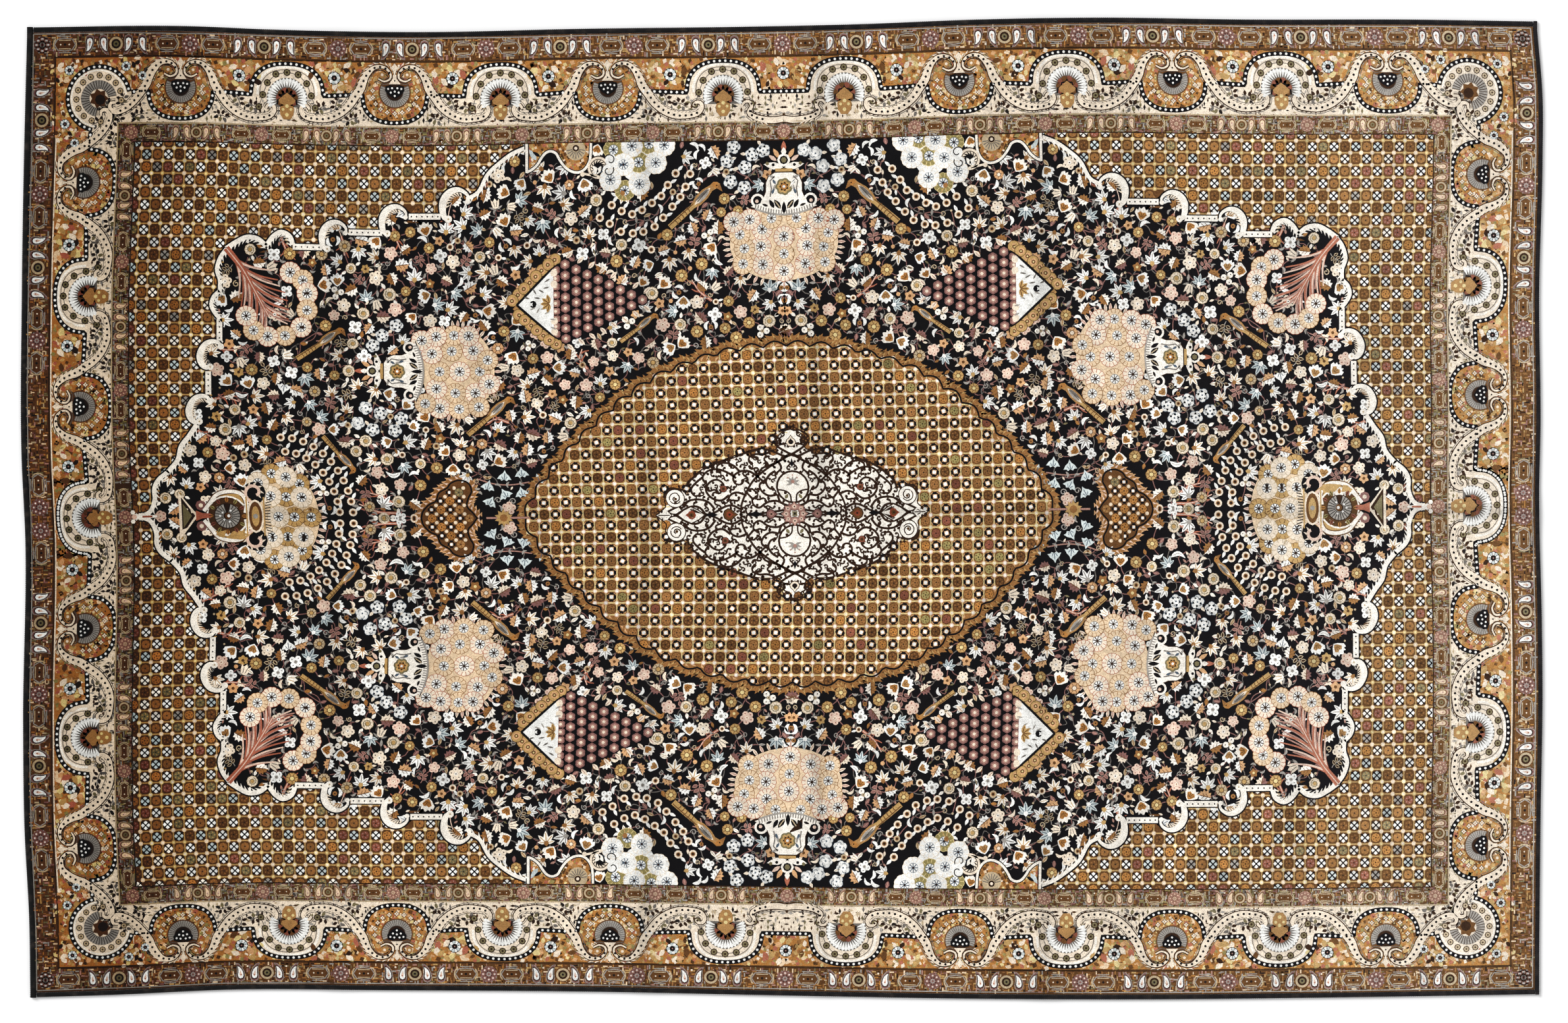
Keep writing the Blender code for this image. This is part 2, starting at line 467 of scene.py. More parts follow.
def new_finish(name, roughness, specular, sheen=0.0):
    """A new material, with its node tree, its shader and its Object coordinates."""
    material = bpy.data.materials.new(name)
    material.use_nodes = True
    tree = material.node_tree
    shader = tree.nodes["Principled BSDF"]
    for socket, value in (
        ("Roughness", roughness), ("Specular IOR Level", specular), ("Sheen Weight", sheen),
    ):
        shader.inputs[socket].default_value = value
    return material, tree, shader, node(tree, "ShaderNodeTexCoord").outputs["Object"]


def bumped(tree, shader, height, strength):
    """The shader's surface roughened by a fine bump."""
    bump = node(tree, "ShaderNodeBump")
    bump.inputs["Strength"].default_value = strength
    bump.inputs["Distance"].default_value = 0.0004
    link(tree, (height, bump.inputs["Height"]), (bump.outputs[0], shader.inputs["Normal"]))


def pile_finish():
    """Dyed pile: the mesh's dye times a knot-sized speckle and two softer clouds, with a fine bump."""
    material, tree, shader, place = new_finish("silk_pile", 0.75, 0.10, 0.05)
    shader.inputs["Sheen Roughness"].default_value = 0.4
    tone = node(tree, "ShaderNodeAttribute", attribute_name="dye").outputs["Color"]
    knots = spread(tree, noise(tree, place, 520), 0.3, 0.7, 0.68, 1.30)
    wear = spread(tree, noise(tree, place, 95, 3), 0.3, 0.7, 0.84, 1.14)
    dye_lots = spread(tree, noise(tree, place, 5.0, 3, (2.2, 0.35, 1)), 0.3, 0.7, 0.87, 1.13)
    for share in (knots, wear, dye_lots):
        tone = blend(tree, "MULTIPLY", tone, share)
    link(tree, (tone, shader.inputs["Base Color"]))
    bumped(tree, shader, noise(tree, place, 600, 1, (0.7, 1.6, 1)), 0.35)
    return material


silk_pile = pile_finish()
print("finish:", silk_pile.name)

# %% [markdown]
# ## From drawing to mesh
#
# `sew` lays a patch on the pile and makes it one mesh: whole arrays go in with `foreach_set`. Its dye colours
# carry painted shade along the folds and a painted sheen along the rug. It also makes a UV map for export.
# Each dye has its own strip of the picture across, and a place along the rug picks the height in that strip,
# so a baked picture keeps both the crisp edges and the slow change of painted sheen and shade.

# Painted sheen of the silk pile, with the dyes' contrast deepened: place along the rug in metres, the power
# that each dye's light is raised to there, and the share of it that is left. Darker at the left end, paler at
# the right.
PAINTED_SHEEN = np.array((
    (-1.53, 1.42, 0.66), (-1.42, 1.42, 0.66), (-1.29, 1.56, 0.58), (-1.20, 1.36, 0.71), (-1.05, 1.20, 0.81),
    (-0.85, 1.16, 0.84), (-0.3, 1.08, 0.90), (0, 1.06, 0.94), (0.4, 1.06, 0.92), (0.85, 1.00, 0.91),
    (1.2, 0.92, 0.93), (1.53, 0.92, 0.95),
))


def with_painted_sheen(light, along):
    """Dyes with painted sheen, light ** power * share: deep at the left end and paled at the right."""
    power, share = (np.interp(along, PAINTED_SHEEN[:, 0], PAINTED_SHEEN[:, k])[..., None] for k in (1, 2))
    return light**power * share


def painted_crease_shade(u, v):
    """Painted shade along each fold, where the leaning pile looks darker: a narrow bell across it, stronger
    here and there.
    """
    tone = np.ones(len(u))
    for k, (middle, _, _) in enumerate(CROSS_CREASES):
        bell = np.exp(-(((u - middle / KNOT - 3 * np.sin(v / 90 + k)) / 13) ** 2))
        tone -= 0.30 * bell * (0.45 + 0.55 * np.sin(v / 170 + 1.9 * k) ** 2)
    bell = np.exp(-(((v - LONG_CREASE[0] / KNOT - 3 * np.sin(u / 120)) / 9) ** 2))
    return tone - 0.28 * bell * (0.3 + 0.7 * np.sin(u / 260 + 0.8) ** 2)


def placed(name, data):
    """A new object in the scene."""
    made = bpy.data.objects.new(name, data)
    bpy.context.scene.collection.objects.link(made)
    return made


def mesh_object(name, points, faces, dye, shade, material, along):
    """A mesh from whole arrays, with the dye attribute and the strip map."""
    mesh = bpy.data.meshes.new(name)
    mesh.vertices.add(len(points))
    mesh.vertices.foreach_set("co", points.astype(np.float32).ravel())
    mesh.loops.add(faces.size)
    mesh.loops.foreach_set("vertex_index", faces.ravel().astype(np.int32))
    mesh.polygons.add(len(faces))
    mesh.polygons.foreach_set("loop_start", np.arange(0, faces.size, faces.shape[1], dtype=np.int32))
    mesh.polygons.foreach_set("use_smooth", np.ones(len(faces), bool))
    mesh.update(calc_edges=True)
    light = np.ones((len(faces), faces.shape[1], 4), np.float32)
    # Painted shade: every dye colour is darkened along the folds.
    tone = painted_crease_shade(points[:, 0] / KNOT, points[:, 1] / KNOT)[faces]
    # Painted sheen: the dyes are deepened at the left end and paled towards the right.
    light[:, :, :3] = with_painted_sheen(
        DYE_LIGHT[dye][:, None], points[:, 0][faces],
    ) * shade[:, None, None] * tone[:, :, None]
    # The dye attribute holds each dye colour with the painted shade and painted sheen multiplied in.
    mesh.color_attributes.new("dye", "FLOAT_COLOR", "CORNER").data.foreach_set("color", light.ravel())
    # A face lies in its dye's strip, as high as its place along the rug; its corners stand a little apart.
    corner = np.arange(faces.shape[1]) / (faces.shape[1] - 1)
    strip = (dye[:, None] + 0.3 + 0.4 * corner[None]) / len(DYES)
    height = np.clip(0.02 + 0.96 * (along[faces] / (2 * HALF_LENGTH) + 0.5), 0.005, 0.99)
    height = height + 0.002 * (corner[None] % 1)
    mesh.uv_layers.new(name="OFBake").data.foreach_set(
        "uv", np.stack([strip, height], 2).astype(np.float32).ravel(),
    )
    mesh.materials.append(material)
    return placed(name, mesh)


def lift(points):
    """Height of the folds, in layers, under places given in knots."""
    u, v = slip(points[:, 0], points[:, 1])
    return lay(u * KNOT, v * KNOT)[:, 2] / LAYER


MOST_CUTS = 9
LONGEST_SIDE = 60  # of a triangle, in knots


def follow(drawn, slack=0.25):
    """The patch cut finely enough to follow the folds.

    A triangle is cut at the middle of its longest side where the cloth there stands more than slack layers
    off the straight line between the side's ends, or where that side is too long for the rug's wander.
    """
    points, faces, dye, rise, shade = drawn
    for _ in range(MOST_CUTS):
        sides = np.stack([faces, np.roll(faces, -1, axis=1)], 2)
        length = np.linalg.norm(points[sides[..., 0]] - points[sides[..., 1]], axis=2)
        which = length.argmax(axis=1)
        row = np.arange(len(faces))
        a, b, c = (faces[row, (which + k) % 3] for k in range(3))
        middle = (points[a] + points[b]) / 2
        height = lift(points)
        bulge = np.abs(lift(middle) - (height[a] + height[b]) / 2)
        cut = (bulge > slack) | (length.max(axis=1) > LONGEST_SIDE)
        if not cut.any():
            break
        new = len(points) + np.arange(cut.sum())
        points = np.vstack([points, middle[cut]])
        rise = np.concatenate([rise, (rise[a[cut]] + rise[b[cut]]) / 2])
        first = np.stack([a[cut], new, c[cut]], 1)
        second = np.stack([new, b[cut], c[cut]], 1)
        faces = np.concatenate([faces[~cut], first, second])
        dye, shade = (np.concatenate([x[~cut], x[cut], x[cut]]) for x in (dye, shade))
    return Patch(points, faces, dye, rise, shade)


def sew(name, drawn, level):
    """A patch laid on the pile, level layers up, as one piece that rides with the rug."""
    drawn = follow(drawn)
    u, v = slip(drawn.points[:, 0], drawn.points[:, 1])
    points = lay(u * KNOT, v * KNOT, BODY_THICKNESS + (level + drawn.rise) * LAYER)
    made = mesh_object(name, points, drawn.faces, drawn.dye, drawn.shade, silk_pile, points[:, 0])
    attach(made, "root")
    print(f"{name}: {len(drawn.faces)} triangles")


# %% [markdown]
# ## Where the big shapes run
#
# The quarter of the design is described once, as lines from the middle to the edge. `PANEL_EDGE` is the
# stepped outline of the dark flower panel, `LENS_EDGE` the pointed medallion inside it, and `HEART_EDGE`
# the cream figure in the very middle. All three can be seen whole from the centre, so a place is inside
# one of them when it is nearer than the outline in its own direction.

# %% Outlines
FIELD = (985, 566.7)  # half length and half width of the trellis field
OPEN_TO = 388  # the panel reaches the field's long sides up to this far from the middle
PANEL_EDGE = (
    (0, 566.7), (391, 566.7), (393, 559), (412, 553), (431, 540), (449, 524), (463, 499), (477, 491),
    (484, 500), (498, 505), (512, 500), (519, 486), (520, 465), (566, 464), (573, 477), (587, 483),
    (601, 477), (606, 462), (607, 440), (656, 440), (663, 453), (677, 459), (691, 453), (696, 438),
    (698, 417), (740, 418), (746, 432), (760, 437), (772, 430), (780, 418), (795, 427), (811, 428),
    (826, 421), (841, 414), (850, 398), (856, 382), (852, 364), (849, 348), (857, 340), (861, 328),
    (855, 314), (847, 307), (847, 274), (862, 266), (875, 257), (879, 243), (876, 230), (864, 222),
    (865, 180), (878, 176), (890, 166), (894, 155), (891, 143), (884, 136), (896, 122), (908, 107),
    (913, 84), (931, 66), (946, 56), (950, 30), (957, 10), (972, 2), (981, 0),
)
LENS_BASE = (
    (0, 256), (50, 253), (100, 245), (150, 230), (200, 209), (250, 175), (300, 130), (330, 99), (360, 64),
    (382, 34), (394, 10), (400, 0),
)
HEART_EDGE = (
    (0, 129), (8, 127), (16, 122), (21, 113), (20, 104), (24, 98), (33, 98), (47, 98), (60, 96), (73, 92),
    (84, 88), (98, 83), (106, 80), (118, 78), (129, 73), (140, 66), (149, 57), (156, 47), (161, 38),
    (166, 39), (173, 41.5), (181, 40.5), (188, 36), (192, 29), (192.5, 21), (191, 14), (197, 8), (207, 0),
)


def scalloped(path, step, depth):
    """A line pushed to its left in even scallops: depth * |sin| of the way along."""
    line = spaced(path, step / 6)
    run = np.concatenate([[0], np.cumsum(np.linalg.norm(np.diff(line, axis=0), axis=1))])
    lobes = max(1, round(run[-1] / step))
    _, left = heading(line)
    return line + left * (depth * np.abs(np.sin(math.pi * lobes * run / run[-1])))[:, None]


LENS_EDGE = scalloped(bend(LENS_BASE, 4), 35, 9)


def inside(edge, points, margin=0.0):
    """True for points nearer the centre than the outline, less a margin, in their own direction."""
    edge = spaced(edge, 5)
    angle = np.arctan2(edge[:, 1], edge[:, 0])
    order = np.argsort(angle, kind="stable")
    reach = np.hypot(edge[:, 0], edge[:, 1])
    points = np.abs(np.asarray(points, float))
    limit = np.interp(np.arctan2(points[:, 1], points[:, 0]), angle[order], reach[order])
    return np.hypot(points[:, 0], points[:, 1]) < limit - margin


def rim(edge, step, inner, dye, rise=0.0):
    """A strip of one dye inside an outline: from it to the same line drawn in towards the centre."""
    line = spaced(edge, step)
    reach = np.linalg.norm(line, axis=1, keepdims=True)
    return between(line, line * (1 - inner / np.maximum(reach, inner + 1)), dye, rise)


print("panel outline", len(PANEL_EDGE), "points; lens outline", len(LENS_EDGE), "points")

# %% [markdown]
# ## The pile body
#
# The cloth itself is one closed mesh, 7 mm thick, with the outline and the folds of the frame's body. Its
# grid has a line on every edge between two grounds, so the plain grounds of the borders, the field, the
# dark panel and the medallion are simply the dyes of its faces. Patches then add everything that is finer.

# %% Pile body
BINDING_WIDTH = {"left": 0.014, "right": 0.009, "top": 0.011, "bottom": 0.010}
SEAM = 0.0004
BODY_U = (-HALF_LENGTH + BINDING_WIDTH["left"] + SEAM, HALF_LENGTH - BINDING_WIDTH["right"] - SEAM)
BODY_V = (-HALF_WIDTH + BINDING_WIDTH["bottom"] + SEAM, HALF_WIDTH - BINDING_WIDTH["top"] - SEAM)
END_BANDS = ((985, "umber"), (1012, "bark"), (1106, "cream"), (1109, "soot"), (1200, "umber"))
SIDE_BANDS = ((566.7, "umber"), (595, "bark"), (691, "cream"), (694, "soot"), (800, "umber"))


def chart_lines(limits, fixed, creases, step):
    """Grid places in knots: every fixed line, evenly filled between, and closer together over a fold."""
    low, high = limits[0] / KNOT, limits[1] / KNOT
    marks = sorted({low, high, *(s * m for m in fixed for s in (-1, 1) if low < s * m < high)})
    runs = [np.linspace(a, b, max(2, math.ceil((b - a) / step) + 1)) for a, b in zip(marks, marks[1:])]
    even = np.unique(np.round(np.concatenate(runs), 4))
    folds = [np.linspace(m - h, m + h, 15) / KNOT for m, h, _ in creases]
    fine = np.concatenate(folds)
    near = np.abs(fine[:, None] - np.array(marks)[None]).min(axis=1)
    return np.unique(np.round(np.concatenate([even, fine[near > 2]]), 4))


def banded(across, bands):
    """Number of the band that each place falls in."""
    return np.searchsorted(np.array([limit for limit, _ in bands], float), np.abs(across), side="right")


def pile_body():
    """The closed cloth: a laid grid on top, the same grid on the floor, and a wall round the four edges."""
    us = chart_lines(BODY_U, [b for b, _ in END_BANDS[:4]], CROSS_CREASES, 16)
    vs = chart_lines(BODY_V, [b for b, _ in SIDE_BANDS[:4]], (LONG_CREASE,), 16)
    nu, nv = len(us), len(vs)
    u, v = np.meshgrid(us, vs)
    # The grounds slip with the design, so the grid lines inside the field are moved before they are laid.
    su, sv = slip(u, v)
    su[:, [0, -1]], sv[[0, -1]] = u[:, [0, -1]], v[[0, -1]]
    flat = lay(su * KNOT, sv * KNOT).reshape(-1, 3)
    points = np.vstack([flat + (0, 0, BODY_THICKNESS), flat])
    i, j = np.meshgrid(np.arange(nu - 1), np.arange(nv - 1))
    a = (j * nu + i).ravel()
    quad = np.stack([a, a + 1, a + nu + 1, a + nu], 1)
    under = quad[:, ::-1] + nu * nv
    edge = np.concatenate([
        np.arange(nu), nu - 1 + nu * np.arange(1, nv), nu * (nv - 1) + np.arange(nu - 2, -1, -1),
        nu * np.arange(nv - 2, -1, -1),
    ])
    wall = np.stack([edge[:-1], edge[:-1] + nu * nv, edge[1:] + nu * nv, edge[1:]], 1)
    middle_u, middle_v = (us[1:] + us[:-1]) / 2, (vs[1:] + vs[:-1]) / 2
    cu, cv = (x.ravel() for x in np.meshgrid(middle_u, middle_v))
    end, side = banded(cu, END_BANDS), banded(cv, SIDE_BANDS)
    # Each face takes the outermost band that it falls in, counted from the rug's edge.
    band_number = np.maximum(end, side)
    dye = np.array([DYE_NUMBER[d] for _, d in END_BANDS])[band_number]
    chart = [np.stack([u.ravel()[quad[:, k]], v.ravel()[quad[:, k]]], 1) for k in range(4)]
    for edge_line, ground in ((PANEL_EDGE, "night"), (LENS_EDGE, "copper"), (HEART_EDGE, "ivory")):
        whole = np.all([inside(edge_line, c, 1) for c in chart], axis=0)
        dye = np.where(whole, DYE_NUMBER[ground], dye)
    faces = np.concatenate([quad, under, wall])
    dyes = np.concatenate([dye, dye, np.full(len(wall), DYE_NUMBER["soot"])])
    made = mesh_object("pile_body", points, faces, dyes, np.ones(len(faces)), silk_pile, points[:, 0])
    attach(made, "root")
    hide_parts("rug_body")
    print("pile body:", nu, "by", nv, "lines,", 2 * len(faces), "triangles")
    return made


body = pile_body()

# %% [markdown]
# ## The trellis ground
#
# Round the panel the field is a trellis: pale dots stand at the crossings of a grid, and each cell holds a
# round flower. Every second one is white with a dark cross, which leaves four petals, and the others are
# rust brown with a dot. In the medallion the same grid has rings of dark dashes with a white eye. One
# flower of each kind is drawn, and `repeat` sets it down in its cells.

# %% Trellis
CELL, LENS_CELL = (16.53, 18.51), (16.43, 18.5)
chance = np.random.default_rng(11)


def cross_flower(rim_dye, petal, line):
    """White four-petalled flower: dark corners, a pale lobed disc and a dark cross over it."""
    bars = [band([(-5.8, s * -5.8), (0, 0), (5.8, s * 5.8)], (2.8, 1.3, 2.8), line, 2.0) for s in (-1, 1)]
    return join(
        disc(7.6, rim_dye, 8, rise=1.0, turn=math.pi / 8),
        disc(6.9, petal, 16, rise=1.6, lobes=4, depth=0.22, turn=math.pi / 4), *bars,
        disc(1.9, line, 4, rise=2.4),
    )


def dot_flower(rim_dye, petal, inner, eye):
    """Brown flower: a dark rim, a round petal, a ring of short strokes and a small eye."""
    strokes = repeat(band([(3.2, -0.9), (4.9, 0.9)], 1.2, inner, 1.9), np.zeros((5, 2)), 1.257 * np.arange(5))
    return join(
        disc(7.7, rim_dye, 8, rise=1.0), disc(6.7, petal, 8, rise=1.5), strokes,
        disc(1.4, eye, 4, rise=2.0),
    )


def dash_flower(ground="apricot"):
    """Four black bars round a white eye, with thin black corners between them."""
    bars = repeat(
        band([(-2.8, 0), (2.8, 0)], 3.6, "night", 1.9), [(0, 4.9), (4.9, 0), (0, -4.9), (-4.9, 0)],
        (0, math.pi / 2, 0, math.pi / 2),
    )
    corners = repeat(
        band([(-1.4, 0), (1.4, 0)], 1.8, "soot", 1.7), [(3.7, 3.7), (3.7, -3.7), (-3.7, -3.7), (-3.7, 3.7)],
        math.pi / 4 * np.array([3, 1, 3, 1]),
    )
    return join(disc(7.2, ground, 8, rise=1.0), bars, corners, disc(2.8, "chalk", 6, rise=2.3))


def glow(rim_dye, light):
    """The dot where two bars cross: a round dot with a paler middle."""
    return join(disc(3.5, rim_dye, 8, rise=1.5), disc(2.2, light, 6, rise=1.9))


def star(long, short, dye, points=4, rise=1.2, turn=0.0):
    """Pointed star: a round outline that goes in and out."""
    outline = circle(1.0, 2 * points, turn=turn)
    outline *= np.where(np.arange(2 * points) % 2, short, long)[:, None]
    return fill(outline, dye, rise, (0, 0))


def cells(keep, rooms, mirrored):
    """Cell middles of both kinds, and crossings, where keep says so: one grid, or a quarter's mirrored."""
    if mirrored:
        number, size, start = grid(np.arange(60), np.arange(-1, 30)), np.array(CELL), (0, 30 - CELL[1] / 2)
    else:
        number, size, start = grid(
            np.arange(-30, 30), np.arange(-16, 16),
        ), np.array(LENS_CELL), (-2.6, 4 - LENS_CELL[1] / 2)
    middle, crossing = start + (number + 0.5) * size, start + number * size
    odd = (number.sum(axis=1) % 2 == 0) & ((number[:, 1] > -1) | (not mirrored))
    chosen, crossed = keep(middle, rooms[0]), keep(crossing, rooms[1])
    turns = [(su, sv) for su in (1, -1) for sv in (1, -1)] if mirrored else [(1, 1)]
    return [
        np.concatenate([places * turn for turn in turns])
        for places in (middle[chosen & odd], middle[chosen & ~odd], crossing[crossed])
    ]


def in_field(points, room):
    """Inside the trellis field and outside the panel."""
    within = np.all(np.abs(points) < np.array(FIELD) - room, axis=1)
    return within & ~inside(PANEL_EDGE, points, 2) & (np.abs(points[:, 0]) > OPEN_TO)


def in_lens(points, room):
    """Inside the medallion and outside the cream figure."""
    return inside(LENS_EDGE, points, room - 4) & ~inside(HEART_EDGE, points, 2)


def lots(count, spread_of=0.09):
    """Uneven dye lots: a random shade for each of count copies."""
    return 1 + spread_of * chance.standard_normal(count).clip(-2, 2)


def lattice(crossings, keep, dye, width=1.4):
    """Fine bars of the grid, along and across, between neighbouring crossings."""
    along, across = (crossings[keep(crossings + step, -2)] for step in ((CELL[0] / 2, 0), (0, CELL[1] / 2)))
    return join(
        repeat(band(np.array([[2, 0], [CELL[0] - 2, 0]]), width, dye, 0.8), along, shade=lots(len(along))),
        repeat(
            band(np.array([[0, 2], [0, CELL[1] - 2]]), width, dye, 0.8), across,
            shade=lots(len(across)) * 0.85,
        ),
    )


def picked(kinds, count):
    """The number of one of the kinds, drawn in proportion, for each of count places."""
    weight = np.array([w for _, w in kinds], float)
    return chance.choice(len(kinds), count, p=weight / weight.sum())


def kinds_of(make, *rows):
    """Kinds for a draw: every row is what one kind is made from, and last its weight."""
    return tuple((make(*row[:-1]), row[-1]) for row in rows)


def sown(kinds, places, spread_of=0.12):
    """Each place gets one of the kinds at random, in proportion, each in its own shade."""
    pick = picked(kinds, len(places))
    return join(*(
        repeat(one, places[pick == k], shade=lots((pick == k).sum(), spread_of))
        for k, (one, _) in enumerate(kinds)
        if (pick == k).any()
    ))


white, brown, crossings = cells(in_field, (-6, -3), True)
trellis = join(
    sown(kinds_of(
        cross_flower, ("bark", "chalk", "night", 6), ("bark", "ivory", "soot", 3),
        ("walnut", "ice", "night", 2), ("bark", "ash", "soot", 1),
    ), white),
    sown(kinds_of(
        dot_flower, ("bark", "copper", "ochre", "soot", 4), ("bark", "umber", "copper", "soot", 4),
        ("bark", "ochre", "umber", "walnut", 2), ("bark", "russet", "rosewood", "soot", 2),
        ("bark", "moss", "gold", "walnut", 1),
    ), brown, 0.16),
    lattice(crossings, in_field, "gold", 2.0),
    sown(
        kinds_of(glow, ("peach", "cream", 3), ("straw", "cream", 2), ("gold", "straw", 1)), crossings, 0.10,
    ),
)
sew("trellis_field", trimmed(trellis, FIELD), 0.6)

eyes, plain, crossings = cells(in_lens, (7, 3), False)
lens_trellis = join(
    repeat(dash_flower(), eyes, 0.25 * chance.standard_normal(len(eyes)), 1.08, shade=lots(len(eyes))),
    sown(kinds_of(
        dot_flower, ("bark", "copper", "umber", "soot", 5), ("walnut", "umber", "copper", "soot", 5),
        ("bark", "ochre", "umber", "walnut", 2), ("walnut", "russet", "umber", "soot", 1),
        ("bark", "olive", "bark", "soot", 1),
    ), plain, 0.16),
    lattice(crossings, in_lens, "straw", 1.7),
    sown(kinds_of(glow, ("peach", "ivory", 2), ("blush", "ivory", 2), ("straw", "cream", 1)), crossings),
)
sew("trellis_medallion", lens_trellis, 0.6)

# %% [markdown]
# ## Edges of the panel and the medallion
#
# The grid of the pile body can only step from cell to cell, so a strip of dark ground inside each outline
# hides its steps. Over it runs the edging: a cream band with saw teeth on its inner side, straight dotted
# bars between curled leaves, and the long sweep that runs out to the tip.

# %% Panel edging
def edged(path, width, step, dye="ivory"):
    """A cream band with a dark line outside it and a fringe of leaning cream points inside."""
    path = spaced(path, 4)
    return join(
        band(path, width + 3.6, "night", 0.0, 0.5), band(path, width, dye, 0.8),
        teeth(path, step, -width / 2 + 0.6, -5.5, dye, 0.9, 0.55, 0.7),
    )


def bar(start, end, width=8.5):
    """A straight cream bar with dark dots and a dark line on both sides."""
    path = np.array([start, end], float)
    return join(
        band(path, width + 3.4, "night", 0.1), band(path, width, "ivory", 0.9),
        studs(path, 8.2, 1.5, "night", 1.6, 4),
    )


def leaf_curl(points, widths, start, stop, first_knob=3.6):
    """Curled leaf: a band that swells from a small knob to a big one, with ribs where it is broad."""
    line = bend(points, 3.0)
    width = np.interp(np.linspace(0, 1, len(line)), np.linspace(0, 1, len(widths)), widths)
    shade_line = np.vstack([line, [line[-1] + (line[0] - line[-1]) * 0.5]])
    ribs = teeth(line[start:stop], 5.2, -4.0, -7.0, "cream", 1.9, 0.62, -0.75)
    return join(
        fill(shade_line, "night", -0.7, line.mean(axis=0)), band(line, width + 3.6, "night", 0.6, 0.4),
        band(line, width, "ivory", 1.7), ribs, disc(first_knob, "ivory", 8, line[0], 1.8),
        disc(5.2, "ivory", 9, line[-1], 1.8), disc(1.6, "sand", 5, line[-1], 2.2),
    )


bars = (
    ((520, 464), (568, 464)), ((608, 440), (658, 440)), ((698, 417), (742, 417)), ((850, 306), (850, 272)),
    ((867, 224), (867, 188)),
)
TOP_CURL = (
    (0, 0), (-1, 5), (3, 11), (12, 15.5), (22, 14), (30, 7.5), (34.5, -2), (35, -13), (32, -22), (27, -24),
)
SIDE_CURL = (
    (0, 0), (4, 6), (13, 7.5), (22.5, 3.5), (28.5, -6), (31, -17), (28.5, -27.5), (22.5, -33), (16, -32),
)
CURL_WIDTH = (3, 4, 5, 7, 9, 10.5, 11, 9.5, 8, 6)
up_curl = leaf_curl(TOP_CURL, CURL_WIDTH, 7, 21)
side_curl = leaf_curl(SIDE_CURL, (4, 6, 7, 8, 10, 11, 10, 8, 6), 4, 22, 5.0)
# The curved stretches: step of the line, width of the band, step of its teeth, and points.
SWEEPS = (
    (5, 5.5, 9, ((392, 561), (412, 553), (431, 540), (449, 524), (463, 499), (481, 489))),
    (4, 7, 7.5, ((742, 420), (747, 432), (760, 438), (772, 431), (782, 417))),
    (4, 7, 7.5, ((782, 417), (795, 427), (811, 429), (826, 422), (842, 411))),
    (4, 6, 7.5, ((840, 412), (850, 398), (855, 380), (850, 364), (850, 346))),
    (4, 6, 6, ((850, 348), (859, 339), (862, 326), (856, 314), (849, 306))),
    (4, 7, 7.5, ((885, 141), (897, 123), (909, 107), (915, 86), (931, 67))),
    (4, 6.5, 7.5, ((929, 69), (945, 56), (952, 42), (952, 26), (958, 10), (967, 3), (977, 2))),
)
edging = join(
    rim(PANEL_EDGE, 9, 34, "night", -1.5), *(bar(*ends) for ends in bars),
    repeat(up_curl, ((479, 486), (573, 463), (663, 439)), size=(1.08, 1, 1)),
    repeat(side_curl, ((848, 263), (865, 178))),
    *(edged(bend(points, step), width, tooth) for step, width, tooth, points in SWEEPS),
)
tip = join(
    band([(950, 0), (984, 0)], (3, 9), "ivory", 2.2), disc(3.6, "ivory", 6, (986, 7), 2.2),
    disc(3.6, "ivory", 6, (986, -7), 2.2), disc(4.2, "blush", 6, (984, 0), 2.6),
    band([(957, 0), (972, 0)], 3, "rust", 2.8),
)
sew("panel_edging", join(mirror(edging), mirror(tip, across=False)), 2.5)

# %% Medallion edging
lens_line = np.asarray(LENS_EDGE)
outer = lambda line, reach: line + heading(line)[1] * reach
lens_rim = join(
    rim(lens_line, 7, 26, "copper", -0.8), teeth(lens_line, 12, -3.5, -5.0, "apricot", -0.4, 0.5, 0.4),
    between(lens_line, outer(lens_line, 9), "copper", 0.2),
    teeth(lens_line, 6.5, 8.6, 4.5, "copper", 0.2, 0.9, 0.6),
    teeth(lens_line, 9, 3.0, 8.0, "gold", 0.7, 0.5, 0.6),
    teeth(lens_line, 9, 2.4, 4.5, "umber", 0.9, 0.5, 0.2), band(lens_line, 2.8, "night", 1.2),
)
PENDANT = (
    (473, 0), (479, 9), (487, 19), (484, 32), (479, 42), (483, 55), (497, 60), (510, 55), (515, 48),
    (528, 40), (533, 27), (543, 22), (553, 11), (556, 0),
)
pendant_half = bend(PENDANT, 4)
pendant_line = np.vstack([pendant_half, pendant_half[-2:0:-1] * (1, -1)])
pendant_grid = grid(np.arange(484, 556, 14.0), np.arange(-4, 5) * 13.6)
pendant_kind = grid(np.arange(6), np.arange(9)).sum(axis=1) % 2 == 1


def in_pendant(places, room):
    """True for places with room in the pendant: a line out from them crosses it an odd number of times."""
    from_x, from_y = pendant_line.T[:, None, :]
    to_x, to_y = np.roll(pendant_line, -1, axis=0).T[:, None, :]
    safe = np.ones(len(places), bool)
    for step in ((room, 0), (-room, 0), (0, room), (0, -room)):
        x, y = (places + step + (0.013, 0.017)).T[:, :, None]
        crossed = ((from_y > y) != (to_y > y)) & (
            x < from_x + (to_x - from_x) * (y - from_y) / (to_y - from_y + 1e-9)
        )
        safe &= crossed.sum(axis=1) % 2 == 1
    return safe


